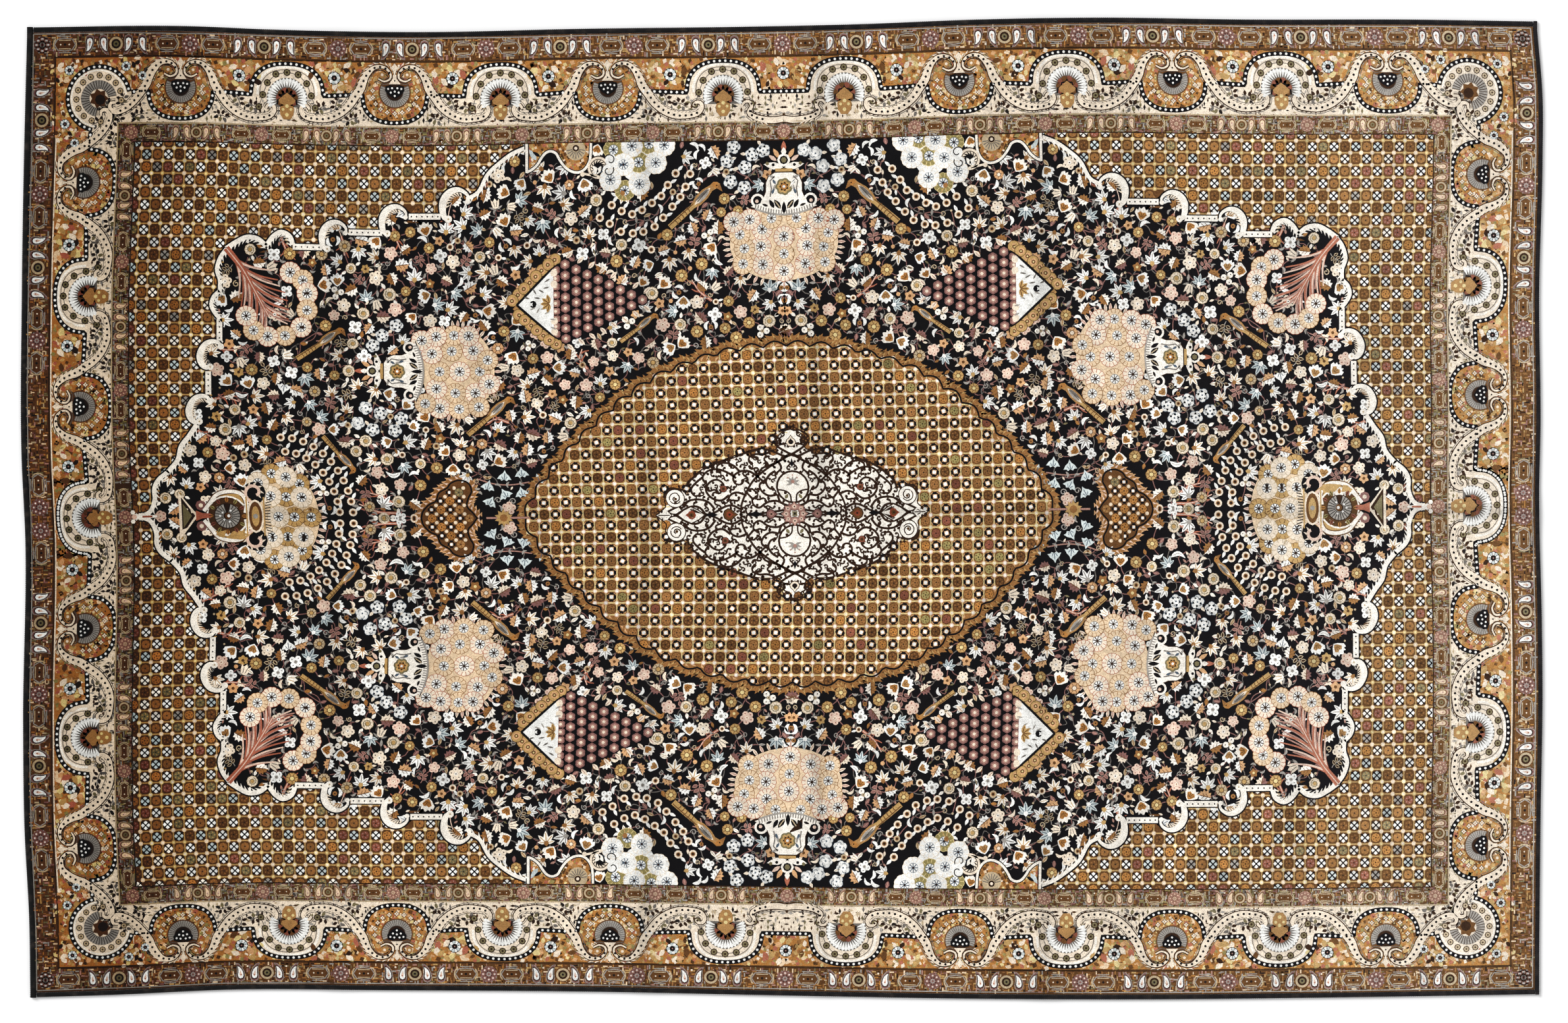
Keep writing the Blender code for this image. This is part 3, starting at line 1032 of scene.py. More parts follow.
pendant_dots = pendant_grid + (7.0, 6.8)
half_pendant = join(
    between(pendant_half, outer(pendant_half, 8), "copper", 0.0),
    teeth(pendant_half, 6, 7.5, 4.5, "apricot", 0.1, 0.9, 0.6),
    teeth(pendant_half, 8, 2.5, 5.5, "blush", 0.3, 0.5, 0.4), band(pendant_half, 2.6, "night", 1.6),
)
pendant = join(
    fill(pendant_line, "umber", 0.6, (512, 0)), mirror(half_pendant, along=False),
    repeat(dash_flower("copper"), pendant_grid[in_pendant(pendant_grid, 5.5) & pendant_kind], size=0.88),
    sown(
        kinds_of(
            dot_flower, ("bark", "copper", "gold", "walnut", 3), ("bark", "moss", "gold", "walnut", 1),
            ("walnut", "ochre", "umber", "soot", 2),
        ),
        pendant_grid[in_pendant(pendant_grid, 5.5) & ~pendant_kind],
    ),
    repeat(lifted(glow("peach", "cream"), 0.4), pendant_dots[in_pendant(pendant_dots, 4)], size=0.85),
)
print("medallion edging", len(lens_rim.faces), "triangles in a quarter")
# The heart's edge, ground strip and line
heart_line = bend(HEART_EDGE, 4)
heart_rim = join(
    rim(heart_line, 7, 24, "ivory", -0.8), band(heart_line, 1.8, "walnut", 1.0),
    repeat(
        fill([(-4, 0), (0, 3.4), (4, 0), (0, -2)], "walnut", 0.6), spaced(heart_line, 17)[2:-3] * 1.012,
        0.9 * np.arange(len(spaced(heart_line, 17)[2:-3])),
    ),
)
sew("medallion_edging", join(mirror(lens_rim), mirror(pendant, across=False), mirror(heart_rim)), 1.8)

# %% [markdown]
# ## The main border
#
# The main border is one long stepped line, a black band with white studs. It climbs outwards over arches
# and sinks inwards round shells, and it parts a gold ground outside from a cream ground inside. The run is
# written once for the long sides. The same run, with its two directions swapped and moved out, makes the
# short sides, which is why `to_end` exists. The corner turns on a round shell of its own.

# %% Border run
ARCH_TOP, SHOULDER, SHELL_FOOT = 687, 640, 601
BORDER_TOP, BORDER_FOOT = 691, 598  # outer and inner limits of the run
ARCH_MIDDLE, FLOWER_ROW, SMALL_ROW = 637, 667, 664
SIDE_SHIFT = 413  # the long side's depth plus this is the short side's


def to_end(one):
    """A patch of the long side carried to the short side: its two directions change places."""
    return one._replace(points=one.points[:, ::-1] + (SIDE_SHIFT, 0), faces=one.faces[:, ::-1])


def oval(middle, wide, high, start, end, count=25, square=0.82):
    """Half of a squarish oval: wide * |cos|^square and high * |sin|^square, each with its own sign."""
    angle = np.radians(np.linspace(start, end, count))
    part = [np.sign(f) * np.abs(f) ** square for f in (np.cos(angle), np.sin(angle))]
    return np.stack([middle[0] + wide * part[0], middle[1] + high * part[1]], 1)


def border_line(arches, shells, start, end):
    """The stepped line: half ovals upwards and downwards, joined by straight shoulders."""
    bows = [(s, oval((s, SHOULDER), 55, ARCH_TOP - SHOULDER, 180, 0)) for s in arches]
    bows += [(s, oval((s, SHOULDER + 3), 49, SHOULDER + 3 - SHELL_FOOT, 180, 360)) for s in shells]
    bows.sort(key=lambda bow: bow[0])
    return np.vstack([[start], *(bow for _, bow in bows), [end]])


def gold_ground(line, limit):
    """Gold ground from the stepped line out to the guard line."""
    line = spaced(line, 5)
    return between(line, np.stack([line[:, 0], np.full(len(line), limit)], 1), "ochre", 0.0)


def studded(line, width=7.0, step=8.5):
    """Black band with white studs, edged with a fine pale line on its inner side."""
    line = spaced(line, 4)
    return join(band(line, width, "night", 0.6), studs(line, step, 2.1, "chalk", 1.4, 5))


# %% Strewn stitches
FLECKS = (
    "walnut", "copper", "copper", "umber", "ochre", "mauve", "sand", "bark", "rosewood", "soot", "gold",
    "moss", "gold", "ash", "copper", "peach",
)


def fleck(dye, long=5.2, wide=1.7):
    """A short stitch of one dye."""
    return band([(-long / 2, 0), (long / 2, 0)], wide, dye)


def flecks(u_limits, v_limits, gap, kinds=FLECKS, upon=None, one=fleck, spread_of=0.75):
    """Short stitches of many dyes strewn over a stretch, one to each square of a loose grid."""
    places = grid(*(np.arange(low + gap / 2, high, gap) for low, high in (u_limits, v_limits)))
    places = places + gap * spread_of * (chance.random(places.shape) - 0.5)
    if upon is not None:
        places = places[covers(upon, places)]
    pick = chance.integers(len(kinds), size=len(places))
    turn, size = math.pi / 2 * chance.integers(2, size=len(places)), 0.7 + 0.7 * chance.random(len(places))
    return join(*(
        repeat(lifted(one(dye), 0.02 * k), places[pick == k], turn[pick == k], size[pick == k])
        for k, dye in enumerate(kinds)
        if (pick == k).any()
    ))


def blade(dye):
    """A tiny leaf of one dye."""
    return fill([(-3.6, 0), (0, -1.5), (3.6, 0), (0, 1.5)], dye)


def pebble(dye):
    """A small uneven blot of one dye."""
    return fill([(-3.2, -1.6), (1.6, -2.8), (3.4, 1.2), (-1.2, 2.8)], dye)


# %% Border figures
def ray_ring(inner, outer, start, end, count, ground, ray, rise, centre=(0, 0)):
    """Part of a ring filled with one dye, with fine dark rays across it."""
    steps = np.linspace(start, end, count)
    a, b = arc(centre, inner, start, end, 2 * count), arc(centre, outer, start, end, 2 * count)
    line = np.array([[inner + 0.5, 0], [outer, 0]])
    rays = repeat(band(line, 1.1, ray, rise + 0.5), np.tile(centre, (count, 1)), np.radians(steps))
    return join(between(a, b, ground, rise), rays)


def arch_figure():
    """Inside an arch: white rim, ringed berries, fan of pleats, brown lobes, dark cap and gold finial."""
    berries = np.array(whole([(-43, -15), (-37, 3), (-30, 21), (-17, 34), (0, 37)]), float)
    berry = join(
        disc(5.6, "walnut", 8, rise=0.9), disc(4.2, "moss", 7, rise=1.3), disc(1.9, "walnut", 5, rise=1.8),
    )
    pleat = fill([(0, 16.5), (2.7, 28), (0, 31.5), (-2.7, 28)], "chalk", 1.5)
    fan = np.radians(np.linspace(-112, 112, 23))
    lobes = [
        disc(5.6, d, 8, (11.5 * math.cos(a), 11.5 * math.sin(a) - 2), 2.0)
        for d, a in zip(("umber", "russet") * 4, np.radians(np.linspace(-25, 205, 8)))
    ]
    cap = band(whole([(-15, -11), (-14, -4), (-9, -2), (-8, 4), (-2, 5), (0, 9)]), 2.6, "night", 2.8)
    finial_line = whole([(0, 7), (-6, 2), (-13, -4), (-11, -9), (-8, -10), (-11, -17), (-10, -26), (-5, -33)])
    finial = join(fill(finial_line, "amber", 3.0, (0, -14)), *(
        disc(r, "straw", 6, c, 3.5)
        for r, c in ((3, (0, -13)), (2.4, (-6, -18)), (2.4, (6, -18)), (3, (0, -26)))
    ))
    rim_line = oval((0, 3), 45, 42, 180, 0, 21)
    return join(
        band(rim_line, 3.6, "ivory", 0.4), band(oval((0, 3), 41.5, 38, 185, -5, 21), 1.1, "smoke", 0.6),
        band(berries, 1.1, "smoke", 0.7), repeat(berry, berries),
        fill(arc((0, -2), 31, -24, 204, 26), "smoke", 0.9, (0, -2)), disc(16, "walnut", 16, (0, -2), 1.6),
        repeat(pleat, np.tile((0, -2), (23, 1)), fan), *lobes, cap, finial,
    )


def shell_figure():
    """Inside a shell: black heart with seeds, cream flare, a ring of pale rays and a row of lozenges."""
    heart = whole([(0, 14), (-7, 18), (-14, 16), (-15, 9), (-9, 2), (0, -3)])
    seeds = [(-10, 12), (-4, 13), (4, 13), (10, 12), (-6, 6.5), (0, 8), (6, 6.5), (0, 1.5)]
    turn = np.radians(np.linspace(172, 368, 11))
    places = np.stack([34 * np.cos(turn), 5 + 30 * np.sin(turn)], 1)
    lozenge = join(
        star(5.2, 3.0, "walnut", 4, 0.6), star(4.0, 2.2, "cream", 4, 1.1), disc(1.2, "copper", 4, rise=1.6),
    )
    flare = [(-9, 19), (9, 19), (3, 27), (2, 38), (5, 44), (0, 50), (-5, 44), (-2, 38), (-3, 27)]
    return join(
        disc(24.5, "umber", 24, (0, 7), 0.4), ray_ring(12, 22.5, 155, 385, 25, "ash", "smoke", 1.0, (0, 7)),
        disc(13.5, "walnut", 14, (0, 7), 1.4), fill(heart, "night", 1.9, (0, 8)),
        repeat(disc(1.7, "chalk", 5, rise=2.4), seeds), repeat(lozenge, places),
        studs(arc((0, 5), 27.0, 165, 375, 30, 25.5), 5.4, 1.3, "straw", 0.9, 4),
        studs(arc((0, 5), 42, 190, 350, 30, 37), 8, 1.5, "bark", 0.6, 4),
        fill(flare, "cream", 2.0, (0, 30)), disc(1.6, "night", 4, (0, 24), 2.5),
        *(disc(6.5, "amber", 9, (s * 19, 33), 1.0, lobes=5, depth=0.35) for s in (-1, 1)),
        *(disc(2.4, "cream", 5, (s * 19, 33), 1.5) for s in (-1, 1)),
        *(repeat(leaf_blot, [(s * 30, 26), (s * 36, 14)], s * 0.6, 0.55) for s in (-1, 1)),
    )


def scroll_arm(points, widths):
    """Curved acanthus arm: a cream band that swells and thins, with dark dots and a feathery edge."""
    line = bend(points, 3.2)
    width = np.interp(np.linspace(0, 1, len(line)), np.linspace(0, 1, len(widths)), widths)
    middle = line[8:-9]
    return join(
        *(band(line, 1.0, "smoke", 0.6, side * (width / 2 + 3.4)) for side in (1, -1)),
        band(line, width + 3.0, "walnut", 0.8), band(line, width, "cream", 1.4),
        teeth(middle, 6.5, 4.4, 3.2, "cream", 1.0, 0.9, 0.9),
        teeth(middle, 6.5, -4.4, -3.0, "walnut", 0.7, 0.8, 0.8), studs(middle, 9.0, 2.1, "night", 2.0, 5),
    )


ARM = (
    (25, 667), (16, 663), (7, 667), (7, 676), (16, 684), (30, 684), (41, 675), (48, 663), (52, 652),
    (61, 639), (71, 625), (86, 613), (104, 606), (122, 606), (136, 609), (143, 618), (140, 625), (133, 625),
    (130, 620),
)
ARM_WIDTH = (2, 2.5, 3, 4, 6, 9, 12, 12.5, 12, 11, 10.5, 10, 9, 8, 7, 5, 3.5)
CORNER_ARM = (
    (25, 667), (16, 663), (7, 667), (7, 676), (16, 684), (30, 684), (41, 675), (48, 663), (52, 652),
    (61, 639), (72, 626), (84, 616), (98, 611), (107, 616), (106, 624), (99, 625),
)
leaf_blot = fill([(0, -8), (5, -3), (4, 3), (0, 9), (-5, 3), (-4, -4)], "gold", 0.4)
sprig = join(band([(-9, 0), (0, 1), (10, -1)], 1.3, "smoke", 0.8), *(
    repeat(dyed(leaf_blot, d), [at], turn, 0.5)
    for d, at, turn in (
        ("walnut", (-6, 4), 0.6), ("smoke", (-5, -4), 2.4), ("walnut", (1, 6), 0.1), ("moss", (2, -5), 2.9),
        ("walnut", (8, 4), -0.7), ("soot", (9, -4), -2.2),
    )
))


def ground_flower(seed):
    """Ice-blue flower with a black eye on the gold ground, with light and dark leaves strewn round it."""
    dice = np.random.default_rng(seed)
    turn = dice.random(22) * 2 * math.pi
    far = 12 + 20 * dice.random(22)
    at = np.stack([1.15 * far * np.cos(turn), np.clip(0.8 * far * np.sin(turn), -22, 19)], 1)
    dyes = ("cream", "gold", "peach", "straw", "walnut", "rust", "gold", "apricot", "cream", "umber", "gold")
    blots = [
        lifted(
            repeat(dyed(leaf_blot, dyes[k % 11]), [at[k]], 7 * dice.random(), 0.5 + 0.5 * dice.random()),
            0.007 * k,
        )
        for k in range(22)
    ]
    return join(
        *blots, disc(10, "walnut", 14, rise=1.3),
        *(
            repeat(disc(2.7, d, 6, rise=1.7), arc((0, 0), 6.6, s, s + 280, 5))
            for d, s in (("ice", 0), ("chalk", 36))
        ),
        disc(4.4, "night", 8, rise=2.1, lobes=4, depth=0.4), disc(1.3, "rosewood", 4, rise=2.5),
    )


DARK_BLADES = ("smoke", "bark", "moss", "walnut", "soot", "ash", "sand")
PEBBLES = (
    "cream", "gold", "copper", "umber", "apricot", "straw", "peach", "bark", "amber", "olive", "ochre",
    "rust",
)


def border_run(arches, shells, line, arms, flowers, small):
    """Everything on one run of the border: the studded line, and the figures set down at their places."""
    places = lambda spots, depth: np.array([(s, depth) for s in spots], float)
    sprigs = np.array([
        (s + o, d)
        for s in shells
        for o, d in ((-64, 606), (64, 606), (-112, 622), (112, 622), (-88, 630), (88, 630))
    ], float)
    ground = gold_ground(line, BORDER_TOP)
    foot = np.stack([line[:, 0], np.full(len(line), float(BORDER_FOOT))], 1)
    u_limits = (max(line[0, 0], 0), line[-1, 0])
    return join(
        ground,
        lifted(flecks(u_limits, (BORDER_FOOT + 2, BORDER_TOP - 1), 5.6, PEBBLES, ground, pebble, 1.0), 0.1),
        lifted(flecks(
            u_limits, (BORDER_FOOT + 1, 634), 7.0, DARK_BLADES, between(line, foot, "cream"), blade, 1.0,
        ), 0.1),
        studded(line), repeat(arch_figure(), places(arches, ARCH_MIDDLE)),
        repeat(shell_figure(), places(shells, SHOULDER)), *arms,
        *(repeat(ground_flower(20 + k), [(f, FLOWER_ROW)]) for k, f in enumerate(flowers)),
        *(repeat(ground_flower(40 + k), [(f, SMALL_ROW)], size=0.7) for k, f in enumerate(small)),
        repeat(sprig, sprigs, np.tile((0.3, -0.3, 0.5, -0.5, 1.2, -1.2), len(shells))),
    )


arm = scroll_arm(ARM, ARM_WIDTH)
corner_arm = scroll_arm(CORNER_ARM, ARM_WIDTH)
middle_arm = scroll_arm(
    [(63, 620), (59, 625), (52, 625), (49, 618), (53, 609), (44, 602), (28, 598), (14, 597), (0, 599)],
    (3, 4, 5, 7, 8, 9, 9, 8),
)

long_arms = [
    repeat(arm, [(267, 0), (591, 0)]), repeat(flipped(arm), [(267, 0), (591, 0), (917, 0)]),
    repeat(corner_arm, [(917, 0)]), middle_arm,
]
long_line = border_line((92, 430, 755), (267, 591, 917), (0, SHOULDER), (992, SHOULDER))
long_run = border_run(
    (92, 430, 755), (267, 591, 917), long_line, long_arms, (172, 357, 503, 683, 828), (975,),
)
short_arms = [
    repeat(arm, [(170, 0)]), repeat(flipped(arm), [(170, 0), (507, 0)]), repeat(corner_arm, [(507, 0)]),
]
short_line = border_line((0, 338), (170, 507), (-60, SHOULDER), (582, SHOULDER))
short_run = border_run((338,), (170, 507), short_line, short_arms, (79, 262, 414), (566,))
short_middle = to_end(repeat(arch_figure(), [(0, ARCH_MIDDLE)]))

hub = np.array([1041, 631.0])
corner_ring = arc(hub, 47, 168, -78, 45)
turn = np.radians(np.linspace(168, -78, 45))
square = np.clip(hub + 150 * np.stack([np.cos(turn), np.sin(turn)], 1), (992, 582), (1106, BORDER_TOP))
corner_ground = between(corner_ring, square, "ochre", -0.4)
corner = join(
    corner_ground,
    lifted(flecks((992, 1106), (582, BORDER_TOP - 1), 5.6, PEBBLES, corner_ground, pebble, 1.0), -0.3),
    fill(arc(hub, 46, 0, 354, 60), "cream", -0.2, hub), band(corner_ring, 7, "night", 1.0),
    studs(corner_ring, 8.5, 2.1, "chalk", 1.8, 5), band(arc(hub, 41.5, 172, -82, 33), 2.2, "ivory", 0.6),
    repeat(join(
        disc(5.0, "walnut", 8, rise=1.2), disc(3.8, "sand", 7, rise=1.6), disc(1.6, "walnut", 4, rise=2.0),
    ), arc(hub, 34, 185, -95, 13)),
    ray_ring(14, 27, 170, -80, 26, "ash", "walnut", 1.2, hub),
    disc(15, "umber", 14, hub, 1.7, lobes=7, depth=0.3), disc(8, "walnut", 8, hub - (2, 2), 2.1),
    *(
        repeat(ground_flower(k), [at], size=0.75)
        for k, at in ((60, (1086, 673)), (61, (1000, 678)), (62, (1092, 594)))
    ),
    repeat(sprig, [(1012, 603), (1022, 596)], (0.8, 2.2)),
)
sew(
    "border_long_sides",
    join(mirror(long_run), mirror(repeat(ground_flower(19), [(0, FLOWER_ROW)]), along=False)), 1.2,
)
sew("border_short_sides", join(mirror(to_end(short_run)), mirror(short_middle, across=False)), 1.2)
sew("border_corners", mirror(corner), 1.6)

# %% [markdown]
# ## The narrow borders
#
# Two narrow borders frame the wide one. Both repeat one line of small figures: a pink rosette, a scroll
# box, a pair of leaning drops, a ring, and the same again backwards. The inner one is darker and smaller.

# %% Narrow borders
drop_outline = np.array([
    (0, 9), (3.8, 7.5), (5, 4), (4.2, -1), (1.5, -6), (-2.5, -9.5), (-6, -10.5), (-4.4, -6.5), (-4.2, -1),
    (-5, 4), (-3.8, 7.5),
]) * (0.84, 1)
drop = join(
    fill(drop_outline * 1.5, "mauve", 0.2, (0, 0)),
    band(np.vstack([drop_outline, drop_outline[:1]]) * 1.52, 0.9, "ash", 0.5),
    fill(drop_outline * (1.34, 1.2), "walnut", 0.8, (0, 0)), fill(drop_outline, "chalk", 1.2, (0, 1)),
    fill([(0, 6), (2.2, 2.5), (-1, -4.5), (-2, 2)], "blush", 1.6), disc(1.2, "brick", 4, (0.3, 3), 2.0),
)
box_line = np.array(
    [(-16, 0), (-11, 8), (0, 9.5), (11, 8), (16, 0), (11, -8), (0, -9.5), (-11, -8), (-16, 0)], float,
)
box = join(
    fill(box_line[:-1], "umber", 0.2), band(box_line, 1.5, "ash", 0.9),
    fill(box_line[:-1] * (0.52, 0.45), "umber", 0.9), disc(2.2, "soot", 5, rise=1.3),
    *(
        band([(-9, y), (9, y)], 1.3, d, 1.1)
        for y, d in ((6.2, "sand"), (-6.2, "sand"), (11.8, "ash"), (-11.8, "ash"))
    ),
    *(band(arc((s * 5, 0), s * 12.5, -42, 42, 5), 1.9, "sand", 1.2) for s in (-1, 1)),
    *(disc(1.4, "cream", 4, (s * 6.5, 0), 1.3) for s in (-1, 1)),
)
small_rosette = join(
    disc(12.8, "mauve", 16, rise=0.4),
    repeat(disc(3.3, "walnut", 6, rise=0.7), arc((0, 0), 8.6, 0, 315, 8)),
    repeat(disc(2.6, "rosewood", 6, rise=1.0), arc((0, 0), 8.6, 0, 315, 8)),
    repeat(disc(1.2, "chalk", 4, rise=1.5), arc((0, 0), 8.8, 0, 315, 8)),
    repeat(disc(1.2, "walnut", 4, rise=1.4), arc((0, 0), 5, 22, 338, 8)), disc(3.6, "ash", 8, rise=1.3),
    disc(2.0, "mauve", 6, rise=1.7), repeat(disc(1.0, "ash", 4, rise=1.0), arc((0, 0), 12.4, 22, 338, 8)),
)

hoop = join(
    disc(12.0, "umber", 16, rise=0.3), between(circle(10.4, 16), circle(7.2, 16), "sand", 0.9, True),
    disc(7.0, "walnut", 12, rise=0.8), disc(4.4, "moss", 8, rise=1.1), disc(2.0, "soot", 5, rise=1.4),
)


def redyed(one, swaps):
    """The patch with some of its dyes changed for others."""
    dye = one.dye.copy()
    for old, new in swaps:
        dye[one.dye == DYE_NUMBER[old]] = DYE_NUMBER[new]
    return one._replace(dye=dye)


DROP_PLACES, PEARL_PLACE, PEARL_DEPTH = (19, 40), 29.5, 10.5  # from the middle between two rosettes
BOX_PART = 0.31  # of the way from a rosette to that middle


def border_unit(rosettes, period, depth, end, size=1.0):
    """One narrow border's run: its figures at fixed distances from each rosette, and the same backwards."""
    half = period / 2
    at = lambda offsets: np.array(
        [(r + o, depth) for r in rosettes for o in offsets if abs(r + o) < end], float,
    )
    spots = [r + half + s * x * size for r in rosettes for s in (-1, 1) for x in DROP_PLACES]
    drops = np.array([(u, depth) for u in spots if abs(u) < end], float)
    middle = np.array([r + half for r in rosettes], float)
    away = drops[:, 0] - middle[np.abs(drops[:, :1] - middle).argmin(axis=1)]
    lean = (away > 0) == (np.abs(away) > 30 * size)
    pearls = at([half + s * PEARL_PLACE * size for s in (-1, 1)]) - (0, PEARL_DEPTH * size)
    shade = 0.85 + 0.25 * chance.random(len(drops))
    return join(
        repeat(small_rosette, at([0]), size=size),
        repeat(box, at([-BOX_PART * half, BOX_PART * half]), size=size),
        repeat(disc(1.7, "cream", 5, rise=1.4), pearls, size=size),
        repeat(drop, drops, size=size, flip=lean, shade=shade), repeat(hoop, at([half]), size=size),
    )


SOFT_FLECKS = (
    "moss", "ash", "copper", "smoke", "mauve", "olive", "sand", "bark", "mauve", "ash", "moss", "umber",
)
SOFTER = (
    ("chalk", "peach"), ("walnut", "umber"), ("ash", "sand"), ("bark", "copper"), ("mauve", "rosewood"),
    ("soot", "bark"),
)
OUTER_STEP, OUTER_END_STEP = 225.6, 220  # from one rosette to the next
INNER_STEP, INNER_END_STEP = 198.4, 195.0
OUTER_ROW, INNER_ROW = 711, 581  # middle lines of the two borders
OUTER_END, INNER_END = 1127 - SIDE_SHIFT, 998 - SIDE_SHIFT
INNER_SIZE = 0.78
strewn = join(flecks((0, 1132), (695, 727), 4.6), flecks((0, 1010), (568, 594), 3.4, SOFT_FLECKS))
strewn_ends = join(
    flecks((0, 695), (1110 - SIDE_SHIFT, 1141 - SIDE_SHIFT), 4.6),
    flecks((0, 566), (986 - SIDE_SHIFT, 1011 - SIDE_SHIFT), 3.4, SOFT_FLECKS),
)
outer_long = border_unit([k * OUTER_STEP for k in range(-5, 6)], OUTER_STEP, OUTER_ROW, 1135)
outer_short = join(
    border_unit([-490, -270, 270, 490], OUTER_END_STEP, OUTER_END, 700),
    repeat(small_rosette, [(v, OUTER_END) for v in (18, -18, 711, -711)]),
    repeat(box, [(v, OUTER_END) for v in (52, -52)]),
)
inner_long = redyed(
    border_unit([k * INNER_STEP for k in range(-5, 6)], INNER_STEP, INNER_ROW, 1000, INNER_SIZE), SOFTER,
)
inner_short = redyed(
    border_unit([k * INNER_END_STEP for k in range(-3, 4)], INNER_END_STEP, INNER_END, 568, INNER_SIZE),
    SOFTER,
)


def guards(rows, at_ends):
    """Fine lines on both sides of the middle, from the half length, place, width and dye of each."""
    lines = [(np.array([(-a, s * v), (a, s * v)], float), w, d) for a, v, w, d in rows for s in (1, -1)]
    return join(*(band(line[:, ::-1] if at_ends else line, w, d, 1.2) for line, w, d in lines))


guard_lines = guards((
    (1140, 727, 1.6, "ash"), (1012, 595, 2.0, "sand"), (985, 567, 1.4, "walnut"),
    (1106, 692.5, 1.6, "bark"),
), False)
guard_ends = guards((
    (727, 1141, 1.6, "ash"), (595, 1012, 2.0, "sand"), (567, 986, 1.4, "walnut"),
    (692, 1107.5, 1.6, "bark"),
), True)
sew("narrow_borders", join(
    mirror(outer_long, along=False), mirror(to_end(outer_short), across=False),
    mirror(inner_long, along=False), mirror(to_end(inner_short), across=False), guard_lines, guard_ends,
    lifted(mirror(strewn), -0.6), lifted(mirror(to_end(strewn_ends)), -0.6),
), 1.0)

# %% [markdown]
# ## Bouquets, vases, birds and kites
#
# The dark panel is a garden. Round bunches of rosettes stand in vases on its two axes, garlands and a small
# tree fill its corners, birds sit among the stems, and four kite-shaped baskets point outwards. Each figure
# is drawn once, upright at (0, 0), and then turned and set down; the mirror gives the other quarters.

# %% Rosettes and vases
def rosette(radius, petal, deep, heart, petals=8, rise=0.0, core=7.6):
    """A round flower: scalloped petals with fine lines between them, and a wheel of pale wedges inside."""
    angle = 2 * math.pi * np.arange(petals) / petals
    line = band([(radius * 0.58, 0), (radius * 0.94, 0)], 0.9, deep, rise + 0.16)
    wedge = fill(
        [(core * 0.24, 0), (core * 0.9, -core * 0.27), (core * 0.9, core * 0.27)], "chalk", rise + 0.32,
    )
    return join(
        disc(radius + 0.8, deep, 3 * petals, rise=rise, lobes=petals, depth=0.09),
        disc(radius, petal, 3 * petals, rise=rise + 0.08, lobes=petals, depth=0.09),
        repeat(line, np.zeros((petals, 2)), angle), disc(core, heart, 16, rise=rise + 0.24),
        repeat(wedge, np.zeros((8, 2)), math.pi / 4 * np.arange(8)),
        disc(core * 0.24, "walnut", 5, rise=rise + 0.40),
    )


def leaf(length, width, dye, rise=0.0, vein=None):
    """A pointed leaf along +y: an oval drawn to a point at its tip, with a vein if asked."""
    side = ((0, 0), (0.36, 0.2), (0.5, 0.48), (0.3, 0.78), (0, 1))
    made = fill(whole([(width * x, length * y) for x, y in side]), dye, rise)
    return join(
        made, band([(0, length * 0.1), (0, length * 0.8)], max(0.9, width * 0.2), vein, rise + 0.5),
    ) if vein else made


def small_vase():
    """A white vase: lip with ticks, leaf cut-outs, gold lotus, ring handles, winged foot and a flame."""
    side = [(50, 12), (40, 16), (31, 24), (27, 34), (27, 47), (23, 56), (14, 62)]
    shell = np.array([(-x, y) for x, y in side] + side[::-1] + [(25, 3), (0, -1), (-25, 3)], float)
    ticks = np.linspace(-44, 44, 23)
    lip = np.stack([ticks, 0.0052 * ticks**2 - 1], 1)
    half = join(
        repeat(leaf(17, 8, "night", 1.4, "sand"), [(5, 8)], -0.62),
        repeat(leaf(15, 6.5, "night", 1.5), [(15, 9)], -0.5),
        repeat(leaf(10, 4, "soot", 1.4), [(24, 12)], -1.2),
        band([(21, 26), (19, 38), (21, 50), (14, 57)], 1.8, "smoke", 1.4),
        repeat(leaf(9, 4, "slate", 1.5), [(18, 30), (17, 52)], (0.3, 2.6)),
        repeat(leaf(12, 4, "ash", 1.4), [(16, 33), (13, 54)], (0.2, -1.2)),
        band(arc((40, 21), 8.6, -60, 235, 14), 3.4, "ivory", 1.2), disc(6, "night", 8, (40, 21), 0.9),
        disc(2.8, "blush", 6, (41, 20), 1.4), repeat(leaf(30, 11, "ivory", 1.2), [(1, 70)], -1.4),
        disc(2.6, "night", 5, (16, 74), 1.8), disc(3.0, "moss", 5, (25, 76), 1.7),
        repeat(leaf(17, 7, "apricot", 1.0), [(7, 84)], -0.55),
        repeat(leaf(15, 6, "blush", 0.9), [(11, 80)], -0.95),
    )
    return join(
        fill(np.array([0, 30]) + (shell - (0, 30)) * 1.05, "walnut", 0.2, (0, 30)),
        fill(shell, "ivory", 0.8, (0, 30)),
        repeat(band([(0, 1), (0, 7)], 1.4, "smoke", 1.3), lip, ticks * 0.006), band(lip, 2.6, "ash", 1.5),
        mirror(half, across=False), leaf(19, 7, "night", 1.5),
        disc(14.5, "moss", 21, (0, 41), 1.3, lobes=7, depth=0.2),
        disc(12.5, "gold", 21, (0, 41), 1.7, lobes=7, depth=0.34),
        disc(7.5, "walnut", 14, (0, 41), 1.9, lobes=7, depth=0.3), disc(5, "ochre", 7, (0, 41), 2.1),
        disc(2.4, "chalk", 5, (0, 41), 2.5), band([(-13, 66), (13, 66)], 4.5, "gold", 1.6),
        disc(10, "ivory", 8, (0, 81), 1.6), disc(6.6, "night", 8, (0, 81), 2.0),
        disc(4.4, "moss", 6, (0, 81), 2.4), repeat(leaf(12, 8, "ivory", 1.4), [(0, 88)]),
        repeat(leaf(18, 8, "rust", 1.0), [(0, 92)]),
    )


